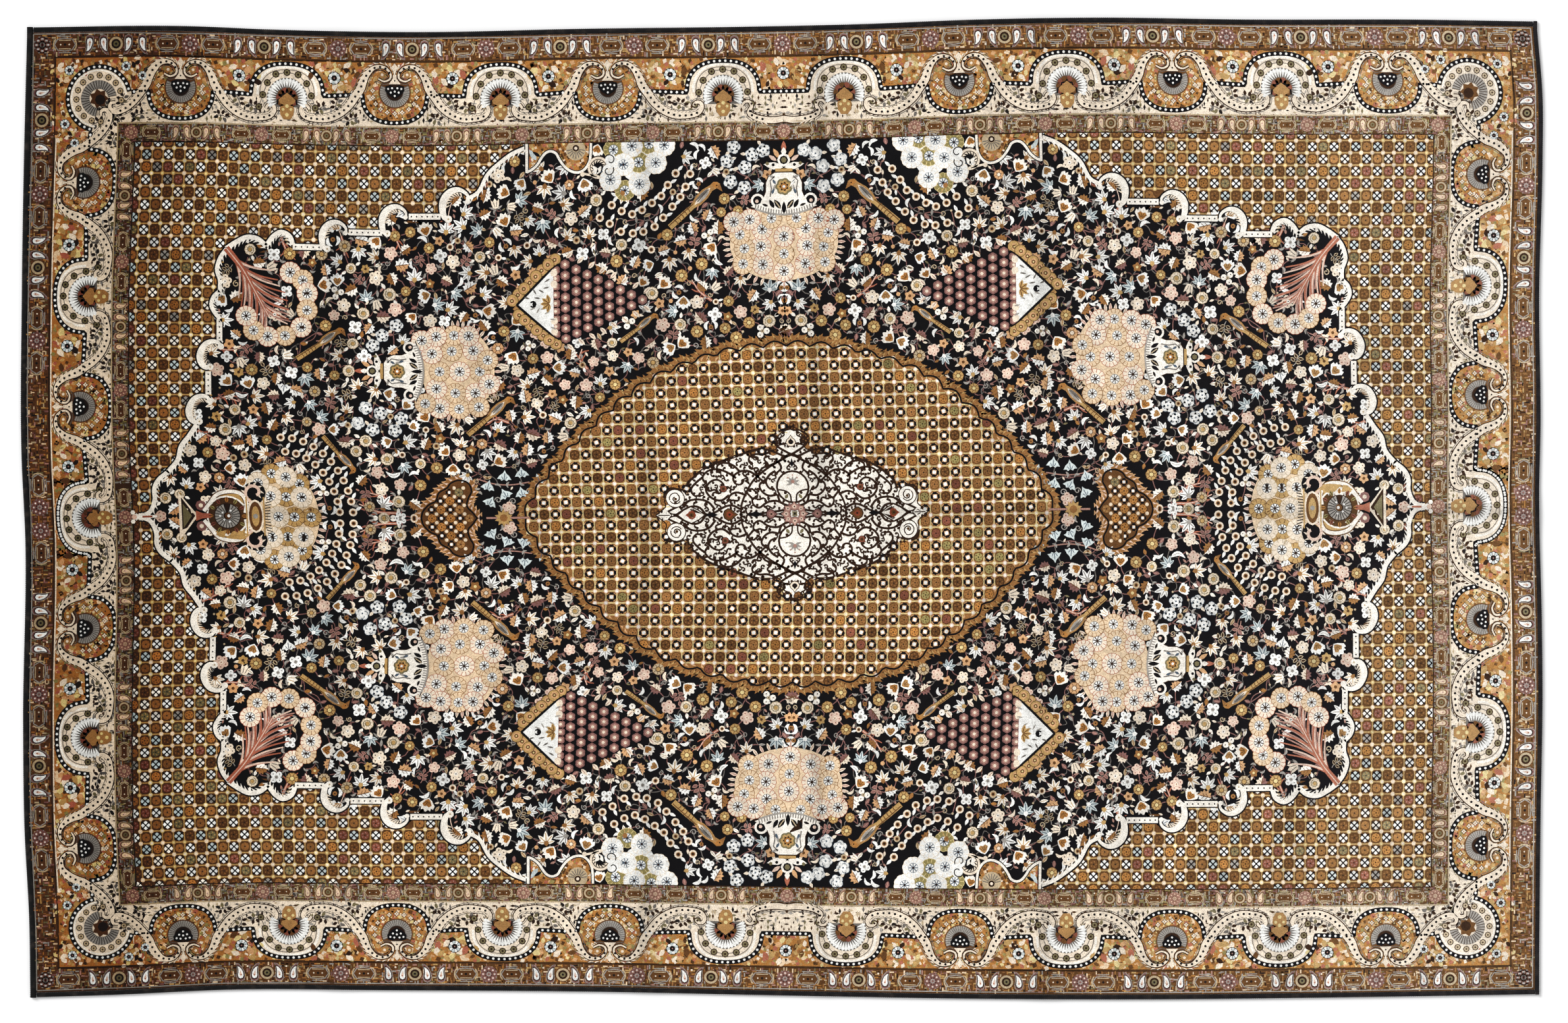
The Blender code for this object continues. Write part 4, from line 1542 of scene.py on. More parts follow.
def great_vase():
    """The vase at the tip: collar of ticks, dark shoulder, round belly with rays, neck and pointed foot."""
    ticks = np.linspace(-26, 26, 13)
    collar = repeat(
        band([(0, 2), (0, -7)], 1.3, "night", 1.6), np.stack([ticks, 2 - 0.006 * ticks**2], 1),
        ticks * 0.012,
    )
    lyre = [(5, 32), (22, 30), (35, 38), (38, 55), (33, 73), (20, 84), (7, 94)]
    handles = [
        band(bend([(s * x, y) for x, y in lyre], 5), w, d, r)
        for s in (-1, 1)
        for w, d, r in ((8.4, "umber", 0.5), (5.4, "ivory", 1.0))
    ]
    curls = [
        piece
        for s in (-1, 1)
        for piece in (
            disc(17, "night", 12, (s * 37, 17), 0.3),
            band(curl(16, 90 + s * 70, s * -0.85, 14, 0.3) + (s * 37, 17), 4.6, "blush", 1.0),
            teeth(
                curl(16, 90 + s * 70, s * -0.8, 20, 0.35) + (s * 37, 17), 6, s * 2.4, s * 5, "cream", 1.3,
                0.6, 0.4,
            ),
        )
    ]
    belly_leaves = [
        repeat(leaf(9, 5.5, d, 1.3, "walnut"), [(21 * math.sin(a), 59 + 21 * math.cos(a))], -a)
        for a, d in zip(np.radians(np.arange(0, 360, 30)), ("ochre", "russet", "olive") * 4)
    ]
    foot = whole([(0, 100), (7, 108), (37, 131)])
    return join(
        collar,
        fill(
            [(-24, 20), (24, 20), (40, 40), (38, 66), (22, 86), (-22, 86), (-38, 66), (-40, 40)], "gold",
            0.25, (0, 55),
        ),
        *handles, *curls, disc(31.5, "ivory", 20, (0, 59), 0.6), disc(29, "bark", 20, (0, 59), 0.7),
        *belly_leaves, disc(20, "walnut", 16, (0, 59), 1.5),
        ray_ring(6, 18.5, -165, 165, 22, "ash", "night", 1.8, (0, 59)), disc(5, "umber", 10, (0, 58), 1.9),
        disc(2.6, "chalk", 6, (0, 57), 2.4),
        repeat(disc(1.8, "chalk", 5, rise=2.4), [(-5, 66), (6, 64), (0, 70), (9, 56), (-8, 54)]),
        fill(circle(1.0, 14) * (26, 13) + (0, 17), "cream", 1.1, (0, 17)),
        fill(circle(1.0, 14) * (23, 10) + (0, 17), "umber", 1.3, (0, 17)),
        fill(circle(1.0, 12) * (16, 6) + (0, 17), "gold", 1.6, (0, 17)), disc(4, "ash", 6, (0, 17), 2.0),
        *(band([(-30, y), (30, y)], 2.2, "gold", 1.8) for y in (4, 30)),
        band([(0, 84), (0, 96), (0, 106)], (7, 8, 16), "rust", 1.8), fill(foot, "cream", 1.2, (0, 120)),
        fill([(0, 107), (29, 127), (-29, 127)], "walnut", 1.8),
        fill([(0, 112), (19, 125), (-19, 125)], "moss", 2.1),
        *(disc(8, "mauve", 8, (s * 16, 98), 0.9) for s in (-1, 1)),
        *(disc(3.5, "cream", 6, (s * 16, 98), 1.3) for s in (-1, 1)),
    )


def bird():
    """A perched bird from the side: beak, slim body with a striped wing, and a long straight tail."""
    body_line = [
        (1, 45), (5, 41), (5, 34), (8, 22), (8, 10), (4, -4), (-3, -4), (-6, 6), (-6, 20), (-3, 31),
        (-5, 39), (-4, 46),
    ]
    wing = join(
        leaf(33, 9, "cream", 1.4, "smoke"), repeat(leaf(26, 4, "smoke", 1.9), [(-1.6, 3)], 0.05),
        repeat(leaf(24, 3.6, "ash", 2.2), [(1.8, 4)], -0.05),
    )
    bars = repeat(
        band([(-4.5, 0), (0, 1.2), (4.5, 0)], 1.2, "umber", 1.5),
        [(1.0 + 0.03 * y, y - 12) for y in range(0, -30, -6)],
    )
    return join(
        fill(body_line, "amber", 0.6, (0, 20)), fill([(-3, 46), (-14, 41), (-4, 38)], "copper", 0.9),
        repeat(wing, [(2, 32)], math.pi - 0.06),
        band([(0, 2), (1, -20), (2, -48)], (8, 10, 10.5), "soot", 0.5),
        band([(0, 2), (1, -20), (2, -47)], (6, 8, 8.5), "gold", 0.8), bars,
        band([(2.6, 0), (3.4, -20), (4.2, -46)], 1.4, "umber", 1.2),
        fill([(0, 45), (5, 41), (4, 36), (-4, 37), (-5, 41)], "ochre", 1.2),
        disc(1.2, "night", 5, (-2, 41), 1.6),
        *(band(np.array([[-2, 6], [-8, -3]]) * (s, 1), 1.6, "rosewood", 0.5) for s in (-1, 1)),
    )


peach_rosette = rosette(16.2, "cream", "rust", "walnut", 13)
apricot_rosette = rosette(16.2, "peach", "copper", "smoke", 13)
cream_rosette = rosette(17.0, "cream", "sand", "soot", 11)
white_rosette = rosette(17.0, "chalk", "cream", "slate", 11)
olive_rosette = rosette(15.5, "olive", "straw", "slate", 12)
brown_rosette = rosette(16, "gold", "umber", "soot", 10)

# %% Bunches of flowers
FLOWER_STEP = 0.48  # layers from one flower of a bunch to the next


def bunch(kinds, places, first, spread_of=0.05):
    """A bunch: rosettes of the kinds in turn, each above the last, so that they overlap as flowers do."""
    return join(*(
        lifted(
            repeat(kinds[k % len(kinds)], [p], 0.7 * k, shade=lots(1, spread_of)), first + FLOWER_STEP * k,
        )
        for k, p in enumerate(places)
    ))


def posy(centre, across, along):
    """The ground of a bunch: a pale oval with a fringe of ragged petals."""
    turn = np.radians(np.arange(0, 360, 7.5))
    edge = np.stack([across * np.cos(turn), along * np.sin(turn)], 1) * 0.98 + centre
    petals = [
        lifted(repeat(leaf(13, 5, d, -0.3, "rosewood"), edge[k::2], turn[k::2] - math.pi / 2), 0.1 * k)
        for k, d in enumerate(("blush", "cream"))
    ]
    return join(fill(circle(1.0, 32) * (across, along) + centre, "peach", 0.0, centre), *petals)


TOP_BUNCH = (
    (32, 381), (62, 383), (35, 408), (60, 406), (33, 434), (67, 427), (52, 449), (19, 450), (76, 446),
)
SIDE_BUNCH = (
    (30.6, -58), (1.5, -59), (-23, -34), (7, -34), (35, -27), (-30, 0), (0, 0), (30, 0), (-20.7, 33),
    (11.5, 32), (41, 28), (7.7, 57), (34.5, 55), (52, -50.5), (56, 49), (-28, -56), (-44, -20), (-42, 18),
    (-14, 56),
)
TIP_CREAM = ((-42, 31), (4, 32), (-20, 62), (22, 52))
TIP_BROWN = ((-19, 31), (1, 67), (-40, 52))
ice_pansy = join(
    repeat(disc(5.9, "slate", 9), arc((0, 0), 5.4, 90, 378, 5)),
    repeat(
        disc(5.2, "chalk", 9, rise=0.4), arc((0, 0), 5.4, 90, 378, 5), shade=(0.86, 0.8, 0.9, 0.78, 0.84),
    ),
    disc(5.0, "chalk", 10, (0, 0.5), 0.8),
    *(
        band(arc(at, 3.2, a, a + 150, 5), 1.0, "slate", 1.2)
        for at, a in (((3, 4), 20), ((-4, 3), 120), ((1, -4), 200))
    ),
    disc(1.5, "slate", 5, rise=1.3), repeat(leaf(9, 5, "cream", 0.2), [(4, -8)], 3.6),
)
TOP_PANSIES = ((76, 558), (48, 546), (31, 552), (86, 537), (59, 527), (81, 506), (60, 497))
SIDE_PANSIES = (
    (586, 303), (607, 287), (621, 271), (633, 173), (611, 165), (580, 157), (645, 149), (623, 139),
    (590, 138),
)
pair = (peach_rosette, apricot_rosette)
top_group = join(
    posy((0, 413), 82, 57), mirror(bunch(pair, TOP_BUNCH, 0.4), across=False),
    bunch(pair, ((0, 370), (0, 396), (0, 422)), 0.4 + FLOWER_STEP * len(TOP_BUNCH)),
    lifted(repeat(small_vase(), [(0, 456)]), 0.4 + FLOWER_STEP * (len(TOP_BUNCH) + 3)),
    mirror(repeat(ice_pansy, TOP_PANSIES, (0.3, 1.2, 2.2, 0.2, 1.0, 1.9, 0.6)), across=False),
)
side_group = join(
    posy((494, 231), 54, 70), bunch(pair, [(492 + x, 231 + y) for x, y in SIDE_BUNCH], 0.4),
    lifted(repeat(small_vase(), [(547, 231)], -math.pi / 2, 0.93), 0.4 + FLOWER_STEP * len(SIDE_BUNCH)),
    repeat(ice_pansy, SIDE_PANSIES, (0.3, 1.2, 2.2, 3.2, 4.0, 4.9, 0.6, 2, 3)),
)
cream_rise = 0.3 + FLOWER_STEP * (len(TIP_BROWN) + 3)
tip_group = join(
    posy((760, 0), 52, 72),
    mirror(
        bunch((brown_rosette,), [(775 + x, y) for x, y in TIP_BROWN], 0.3 + 2 * FLOWER_STEP), along=False,
    ),
    bunch((brown_rosette,), ((720, 0), (745, 0)), 0.3),
    mirror(bunch((cream_rosette,), [(775 + x, y) for x, y in TIP_CREAM], cream_rise), along=False),
    bunch((cream_rosette,), ((769, 0),), cream_rise - FLOWER_STEP),
    lifted(repeat(great_vase(), [(786, 0)], -math.pi / 2), cream_rise + FLOWER_STEP * len(TIP_CREAM)),
)
WHITE_PLACES = ((230, 561), (243, 534), (263, 512), (181, 562), (219, 505), (194, 536))
OLIVE_PLACES = ((204, 564), (220, 537), (241, 496), (258, 556))
corner_bunch = trimmed(join(
    bunch((olive_rosette,), OLIVE_PLACES, 0.2),
    bunch((white_rosette,), WHITE_PLACES, 0.2 + FLOWER_STEP * len(OLIVE_PLACES)),
    disc(24, "chalk", 16, (222, 532), 0.1),
), FIELD)

# The garland and its small tree, in the panel's corners.
GARLAND = (
    (745, 379), (726, 368), (719, 349), (719, 324), (728, 297), (752, 283), (778, 281), (799, 290),
    (810, 312),
)
garland = bunch(pair, GARLAND, 0.5)
trunk = bend([(842, 412), (818, 384), (802, 358), (788, 334), (776, 312)], 4)
fronds = []
trunk_along, _ = heading(trunk)
for k, place in enumerate(spaced(trunk, 5.2)[4:-2]):
    turn = math.atan2(*trunk_along[min(len(trunk) - 1, round(1.3 * (k + 4)))][::-1])
    reach = 62 - 44 * abs(k / 20 - 0.3) ** 1.2
    for side in (-1, 1):
        way = turn + side * (0.56 + 0.12 * math.sin(2.3 * k))
        end = place + reach * np.array([math.cos(way), math.sin(way)])
        middle = (place + end) / 2 + 3 * side * np.array([math.sin(way), -math.cos(way)])
        line = bend([place, middle, end], 7)
        fronds.append(band(
            line, np.linspace(3.4, 1.8, len(line)), ("rust", "blush", "rosewood")[k % 3],
            0.5 + 0.06 * (k % 5) + 0.03 * side,
        ))
tree = join(band(trunk, np.linspace(10, 3, len(trunk)), "rust", 1.2), band(trunk, 1.4, "blush", 1.7), *fronds)

# %% Kites
def kite():
    """A basket like a kite: rows of mauve scales, a white lid with flowers, and gold scalloped sides."""
    columns = np.array(
        [
            (-18 - 16.7 * k, 15.9 * (j - (7 - k) / 2))
            for k in range(8)
            for j in range(8 - k)
        ] + [(-3, 12 * (j - 4)) for j in range(9)]
    )
    scale = join(
        disc(9.0, "night", 12, rise=0.8), disc(8.2, "mauve", 18, rise=1.1, lobes=6, depth=0.2),
        disc(6.2, "rosewood", 18, rise=1.4, lobes=6, depth=0.35), disc(2.5, "cream", 6, rise=1.8),
    )
    ends = np.array([(-20 - 16.7 * k, s * (15.9 * (7 - k) / 2 + 9)) for k in range(8) for s in (-1, 1)])
    thorns = repeat(
        join(leaf(14, 6.5, "cream", 1.0), band([(0, 1), (0, 9)], 1.0, "rosewood", 1.4)), ends,
        np.tile((2.35, 0.8), 8),
    )
    lid = [(0, -50), (53, 0), (0, 50)]
    rim_line = bend([(-8, 58), (10, 45), (57, 1)], 6)
    shell = join(
        disc(9.4, "bark", 12), disc(8.5, "gold", 12, rise=0.08), disc(5.4, "apricot", 10, (0, -1), 0.14),
        disc(3.2, "umber", 7, (0, -1), 0.2), disc(1.5, "straw", 5, (0, -1), 0.26),
    )
    bars = []
    for k, s in enumerate((1, -1)):
        spots = spaced(rim_line * (1, s) + (5, 5.5 * s), 13)[: len(rim_line)]
        spots = spots[:-1] if s < 0 else spots
        bars += [
            lifted(repeat(shell, [spot], 0.9 * s), 0.7 + 0.3 * (n % 2) + 0.04 * k)
            for n, spot in enumerate(spots)
        ]
        bars += [
            band(rim_line * (1, s), 7.5, "amber", 0.5 + 0.04 * k, 3 * s),
            band(rim_line * (1, s), 2.2, "night", 2.2 + 0.04 * k, -1.0 * s),
        ]
    petals = join(*(
        repeat(leaf(14, 7, "gold", 1.8 + 0.15 * k, "umber"), [(6, 0)], math.radians(t))
        for k, t in enumerate((-165, -15, -125, -55, -90))
    ))
    sprays = [
        repeat(
            leaf(10, 2.6, d, 1.8),
            [(14, s * 16), (6, s * 24), (20, s * 8), (5, s * 36), (26, s * 14), (36, s * 8)],
            np.radians([-60, -100, -80, -120, -30, -70]) * s,
        )
        for s, d in ((1, "smoke"), (-1, "ash"))
    ]
    knots = np.array([(-1, 44), (-1, 28), (-1, -28), (-1, -44)], float)
    return join(
        repeat(scale, columns), thorns, fill(lid, "chalk", 2.0), lifted(join(*sprays), 0.6),
        lifted(join(
            disc(5.4, "night", 8, (31, 0), 1.7), disc(3.6, "chalk", 8, (34, 0), 2.1, lobes=4, depth=0.5),
        ), 0.6),
        lifted(repeat(disc(5.5, "cream", 8, rise=1.8), knots), 0.4), lifted(petals, 0.8),
        lifted(join(*bars), 0.6),
    )


kite_place = (350, 335)
BIRD_PLACES = ((135, 473), (221, 292), (447, 161), (674, 99), (699, 272))
BIRD_TURNS, BIRD_SIZES = np.radians([47, 52, 47, 138, 53]), (1.06, 0.75, 0.96, 0.78, 0.92)
birds = repeat(bird(), BIRD_PLACES, BIRD_TURNS, BIRD_SIZES)

# %% Cut-off cartouches at the panel's top
SCALLOP = (
    (292, 566), (293, 546), (296, 536), (302, 528), (310, 524), (319, 524.5), (328, 529), (335, 536),
    (341, 545), (345, 552), (353, 555.5), (361, 553), (368, 545), (373, 537), (381, 530), (389.5, 526),
)
scallop_line = bend(SCALLOP, 3.4)
roof = np.stack([np.clip(scallop_line[:, 0], 292, 390), np.full(len(scallop_line), 566.7)], 1)
hood = between(scallop_line, roof, "ochre", 0.2)
pleats = [band([(0, 5), (0, 14)], 1.3, d, 0.9) for d in ("smoke", "sand")]
fan = np.radians(np.linspace(100, 260, 9))
cartouche = trimmed(join(
    hood, lifted(flecks((292, 390), (522, 567), 5.0, PEBBLES, hood, pebble, 1.0), 0.25),
    band(scallop_line, 6.4, "night", 0.8), band(scallop_line, 3.6, "ivory", 1.4),
    band([(389.5, 567), (389.5, 524)], 7.2, "night", 0.9),
    band([(389.5, 567), (389.5, 525)], 4.0, "ivory", 1.5), disc(15, "sand", 16, (315, 556), 0.6),
    *(
        repeat(one, np.tile((315, 558), (9 - k, 1)), (fan[:-1] + 0.17 if k else fan))
        for k, one in enumerate(pleats)
    ),
    disc(5, "walnut", 10, (315, 559), 1.2), disc(2.5, "cream", 6, (315, 559), 1.6),
    repeat(leaf(19, 8, "ice", 1.0), [(375, 543)], -0.6),
    repeat(leaf(14, 5, "night", 1.3), [(369, 548)], -1.0), disc(18, "night", 16, (281, 530), 0.5),
    band(arc((281, 530), 14.5, 215, -80, 22), 5.6, "walnut", 1.0),
    band(arc((281, 530), 14.5, 215, -80, 22), 3.4, "cream", 1.6),
    band(arc((281, 530), 14.5, -80, -112, 4), (3.4, 3.6, 4.2, 5.2), "cream", 1.7),
    teeth(arc((281, 530), 12.6, 200, -60, 18), 6, -1, -4.5, "cream", 1.4, 0.7, 0.4),
    repeat(leaf(13, 6, "ivory", 1.5), [(283, 521), (281, 523)], (0.5, -0.7)),
    disc(3.6, "cream", 8, (305, 521), 1.9), band([(305, 522), (290, 519), (280, 517)], 3.2, "cream", 1.6),
    *(
        band(curl(9, 30 + 120 * k, 0.8, 12, 0.3) + at, 1.6, "soot", 2.9)
        for k, at in enumerate(((263, 541), (266, 526)))
    ),
    disc(9, "chalk", 12, (262, 541), 2.2), disc(9, "chalk", 12, (266, 526), 2.25),
), FIELD)

# %% [markdown]
# ## The cream heart of the medallion
#
# The middle figure is a cream ground crossed by fine dark vines. Such work is drawn as spirals that spring
# from one another, with small comma leaves on both sides of every line and a palmette where lines meet.

# %% Heart of the medallion
VINES = (
    ((0, 92), (8, 88), (20, 80), (34, 72), (50, 60), (60, 50), (70, 34), (78, 16), (80, 0)),
    ((0, 90), (10, 88), (28, 96), (45, 100), (62, 97), (75, 92), (96, 86), (116, 78), (132, 70), (145, 60)),
    ((0, 92), (16, 82), (34, 74), (45, 70), (52, 58)), ((0, 90), (22, 105), (25, 120), (12, 128), (0, 132)),
    ((26, 98), (40, 92), (54, 92), (64, 86), (60, 78)),
    ((96, 30), (108, 22), (122, 26), (130, 38), (124, 50), (112, 54), (103, 46), (107, 37)),
    ((84, 56), (95, 64), (110, 70), (125, 68), (134, 58), (130, 50)),
    ((52, 58), (64, 66), (78, 66), (88, 58), (86, 48), (78, 46), (74, 52)),
    ((72, 30), (84, 34), (94, 30), (98, 22)), ((25, 66), (34, 60), (40, 50), (36, 40), (30, 38)),
    ((24, 30), (36, 28), (46, 34), (50, 44), (44, 50)),
    ((14, 14), (26, 20), (40, 18), (52, 10), (60, 14), (62, 22), (56, 26)),
    ((0, 12), (16, 6), (36, 3), (60, 0)), ((78, 66), (88, 76), (102, 80), (112, 74), (108, 66)),
    ((134, 58), (144, 50), (152, 40), (148, 30), (140, 30)),
    ((80, 8), (92, 14), (104, 12), (118, 4), (132, 0)), ((132, 0), (142, 12), (157, 12), (178, 0)),
    ((118, 8), (128, 20), (142, 24), (156, 22), (164, 14)), ((156, 22), (168, 16), (184, 8), (200, 0)),
    ((193, 27), (190, 38), (180, 42), (169, 38), (165, 28), (170, 19), (178, 18), (184, 24), (181, 30)),
    ((44, 50), (52, 58)), ((60, 22), (70, 34)), ((20, 80), (16, 70), (24, 62)), ((62, 97), (58, 88)),
    ((116, 78), (120, 66)), ((96, 86), (92, 76)), ((145, 60), (156, 50), (160, 38)),
    ((24, 30), (20, 18), (8, 12)),
)


def vine(points):
    """A dark vine that thins towards its end, with comma leaves in turn on its two sides and a bud."""
    line = bend(points, 3.5)
    stations = spaced(line, 9)[1:]
    along, _ = heading(spaced(line, 9))
    angle = np.arctan2(along[1:, 1], along[1:, 0])
    sides = np.where(np.arange(len(stations)) % 2, 1, -1)
    hook = join(
        band(bend([(0, 0), (2.6, 2.6), (3.0, 6), (0.4, 8)], 2.6), 2.2, "walnut", 0.4),
        disc(2.3, "walnut", 5, (0.2, 7.2), 0.45),
    )
    return join(
        band(line, np.linspace(3.6, 2.9, len(line)), "walnut", 0.3),
        repeat(hook, stations, angle + sides * 0.75 - math.pi / 2, 0.95, sides < 0),
        disc(2.9, "walnut", 6, line[-1], 0.5),
    )


def palmette(size, outer_dye, inner_dye, eye="walnut"):
    """A pointed flower head: a dark leaf shape, a paler one inside, and an eye."""
    shape = np.array(whole([(0, -10), (6, -8), (10, -2), (8, 4), (4, 7), (0, 13)]), float)
    return join(
        fill(shape * size * 1.18, "walnut", 0.6, (0, 0)), fill(shape * size, outer_dye, 1.0, (0, 0)),
        fill(shape * size * 0.58, inner_dye, 1.4, (0, 0)), disc(2.2 * size, eye, 6, rise=1.8),
    )


centre_flower = join(
    repeat(palmette(0.5, "rosewood", "blush"), [(10, 8)], -0.85),
    repeat(leaf(14, 4.5, "mauve", 0.8), [(5, 3), (3, 5)], (-1.2, -0.4)),
)
heart_star = join(
    repeat(
        palmette(0.6, "rosewood", "blush"), [(13, 0), (-13, 0), (0, 11), (0, -11)],
        (-math.pi / 2, math.pi / 2, 0, math.pi),
    ),
    disc(5.5, "moss", 8, rise=2.4, lobes=4, depth=0.4), disc(2, "night", 4, rise=2.8),
)
round_palmette = join(
    disc(25.5, "walnut", 20, rise=0.8), disc(22.4, "ivory", 20, rise=1.2),
    disc(3, "rosewood", 6, (0, 8), 2.0),
    *(repeat(leaf(11, 3.6, "ash", 1.6), [(0, 6)], a) for a in (-1.9, -1.2, -0.6, 0, 0.6, 1.2, 1.9)),
    *(disc(1.5, "rosewood", 4, c, 2.0) for c in ((-7, 14), (7, 14), (0, 18))),
    *(
        band(bend([(s * 22, -4), (s * 12, -6), (s * 5, -12), (s * 4, -23)], 4), 2.4, "walnut", 1.8)
        for s in (-1, 1)
    ),
    *(disc(2.6, "walnut", 5, (s * 12, -9), 1.9) for s in (-1, 1)),
    *(repeat(leaf(9, 5, "moss", 1.7), [(s * 13, -18)], s * 0.6) for s in (-1, 1)),
)
spear = fill([(-12, 0), (-2, -5), (2, -3), (12, 0), (2, 3), (-2, 5)], "night", 0.9)
almond = join(*(
    fill([
        (-22 * k, 0), (-12 * k, -8 * k), (0, -14 * k), (12 * k, -8 * k), (22 * k, 0), (12 * k, 8 * k),
        (0, 14 * k), (-12 * k, 8 * k),
    ], d, r)
    for k, d, r in ((1, "walnut", 0.7), (0.86, "ivory", 0.9))
))
vines = [vine(points) for points in VINES]
drawn = np.vstack([bend(points, 3.5) for points in VINES])
sprig_spots = []
for spot in chance.random((2600, 2)) * (200, 128):
    clear = np.hypot(*(drawn - spot).T).min()
    in_heart = inside(HEART_EDGE, spot[None], 4)[0] and spot.min() > 5
    off_palmette = np.hypot(spot[0], spot[1] - 41) > 28
    if 7.2 < clear < 11.5 and in_heart and off_palmette:
        sprig_spots.append(spot)
        drawn = np.vstack([drawn, spot])
tendril = join(
    band(bend([(4, -6), (5, -2), (1, 0), (-3, 1), (-5, 4), (-2, 6.5)], 2.8), 2.9, "walnut", 0.6),
    disc(2.3, "walnut", 5, (-2.2, 6), 0.65), disc(2.4, "walnut", 5, (4, -6), 0.65),
    fill([(0, 0), (2.4, 2.4), (2.8, 6), (-0.6, 3.4)], "walnut", 0.7),
)
sprigs = repeat(
    tendril, sprig_spots, 6.28 * chance.random(len(sprig_spots)),
    0.75 + 0.35 * chance.random(len(sprig_spots)), chance.random(len(sprig_spots)) < 0.5,
)
print(len(sprig_spots), "tendrils in a quarter of the heart")
quarter = join(
    *vines, sprigs, centre_flower, repeat(palmette(0.5, "russet", "bark"), [(104, 40)], -0.9),
    fill(circle(14.6, 20, (176.5, 26)), "walnut", 0.9, (176.5, 26)),
    fill(circle(13.2, 20, (176.5, 26)), "ivory", 1.1, (176.5, 26)),
    band(arc((176.5, 26), 8.4, -150, 120, 16), 1.6, "walnut", 1.4),
    band(curl(7.5, 120, 0.9, 14, 0.2) + (176.5, 26), 1.9, "walnut", 1.5),
    disc(2.4, "bark", 6, (176, 25), 1.7),
)
on_the_long_axis = join(
    repeat(palmette(0.7, "mauve", "rosewood"), [(35, 0)], math.pi / 2),
    repeat(spear, [(60, 0), (20, 0)], size=(1.0, 0.6)),
    repeat(palmette(0.85, "umber", "brick"), [(97, 0)], math.pi / 2), repeat(almond, [(154, 0)]),
    repeat(palmette(0.7, "brick", "umber"), [(154, 0)], -math.pi / 2), repeat(spear, [(124, 0)], size=0.8),
    fill([(190, 7), (206, 0), (190, -7), (184, 0)], "ivory", 0.9),
    band([(186, 0), (203, 0)], 1.6, "walnut", 1.3),
)
on_the_cross_axis = join(
    repeat(round_palmette, [(0, 41)]), repeat(palmette(0.7, "cream", "night"), [(0, 110)]),
    repeat(spear, [(0, 78)], math.pi / 2, 0.6),
)
sew("medallion_heart", join(
    mirror(quarter), mirror(on_the_long_axis, across=False), mirror(on_the_cross_axis, along=False),
    heart_star,
), 2.0)

# %% [markdown]
# ## The flower-filled ground
#
# Between the large figures the dark ground is packed with hundreds of small blossoms and leaves. No weaver
# places them by rule, so they are scattered: big flowers first, then middle ones, then small leaves in the
# gaps, each kept clear of all the earlier ones. Thin stems then join every flower to its nearest
# neighbours, which makes the scatter read as climbing vines. Only a quarter is scattered, and the mirror
# gives the rest, as in the real design.

# %% Small flowers and leaves
def ring_of(one, radius, angles):
    """Copies of a patch that point outwards round (0, 0), at angles in degrees from straight up."""
    turn = np.radians(np.asarray(angles, float))
    return join(*(
        lifted(repeat(one, [(-radius * math.sin(a), radius * math.cos(a))], a), 0.16 * (k % 5))
        for k, a in enumerate(turn)
    ))


def toothed_leaf(light, warm, rib="umber"):
    """A leaf with saw-toothed sides, one half light and the other warm, with a dark midrib."""
    half = [
        (0, -11), (3, -9), (8, -9), (6.5, -5), (11.5, -3), (8, 0), (11, 4), (6.5, 5), (6.5, 9), (3, 9),
        (0, 14),
    ]
    return join(
        fill(half, light, 0, (2.5, 0)), fill([(-x, y) for x, y in half[::-1]], warm, 0, (-2.5, 0)),
        band([(0, -10), (0, 9)], 1.3, rib, 0.6),
        *(band([(0, y), (s * 5, y + 4)], 0.9, rib, 0.5) for s in (-1, 1) for y in (-5, 1)),
    )


def lotus(petal, line, cup):
    """An open lotus from the side: long pointed petals like the fingers of a hand over a small cup."""
    petals = [
        repeat(leaf(long, wide, petal, 0.2 * k, line), [(0, -7)], a)
        for k, (long, wide, a) in enumerate((
            (14, 6, -1.45), (14, 6, 1.45), (18, 7, -0.75), (18, 7, 0.75), (20, 7.5, 0),
        ))
    ]
    return join(*petals, fill(whole([(0, -13), (4, -9), (3, -4)]), cup, 1.5))


def blossom(petal, dot, heart, count=5):
    """Round petals, each with a dark dot, about a small heart."""
    one = join(disc(5.3, petal, 8), disc(1.3, dot, 4, (0, 1), 1.0))
    return join(
        ring_of(one, 6.8, np.arange(count) * 360 / count), disc(3.3, heart, 6, rise=1.1),
        disc(1.4, dot, 4, rise=1.6),
    )


def round_flower(petal, ring_dye, eye, petals=7):
    """A scalloped flower with a dark outline, fine lines between its petals, a ring and an eye."""
    lines = repeat(
        band([(4.5, 0), (9.6, 0)], 0.9, ring_dye, 0.9), np.zeros((petals, 2)),
        2 * math.pi * (np.arange(petals) + 0.5) / petals,
    )
    return join(
        disc(11.3, ring_dye, 3 * petals, lobes=petals, depth=0.13),
        disc(10.4, petal, 3 * petals, rise=0.4, lobes=petals, depth=0.13), lines,
        disc(4.8, ring_dye, 8, rise=0.9), disc(3.6, eye, 7, rise=1.3),
    )


def fan_flower(edge_dye, base, line):
    """A carnation from the side: a toothed pale edge round a warm base with fine stripes."""
    edge = np.array([
        (-13, 1), (-12, 7), (-8, 6), (-8, 11), (-4, 9), (-1, 13), (1, 13), (4, 9), (8, 11), (8, 6), (12, 7),
        (13, 1), (6, -7), (0, -11), (-6, -7),
    ], float)
    rays = repeat(
        band([(2, 0), (9, 0)], 1.0, line, 1.0), np.tile((0, -6), (4, 1)), np.radians([48, 76, 104, 132]),
    )
    return join(
        fill(edge, edge_dye, 0, (0, 0)),
        fill([(-8, 1), (-4, 5), (0, 3), (4, 5), (8, 1), (4, -6), (0, -9), (-4, -6)], base, 0.5, (0, -2)),
        rays,
    )


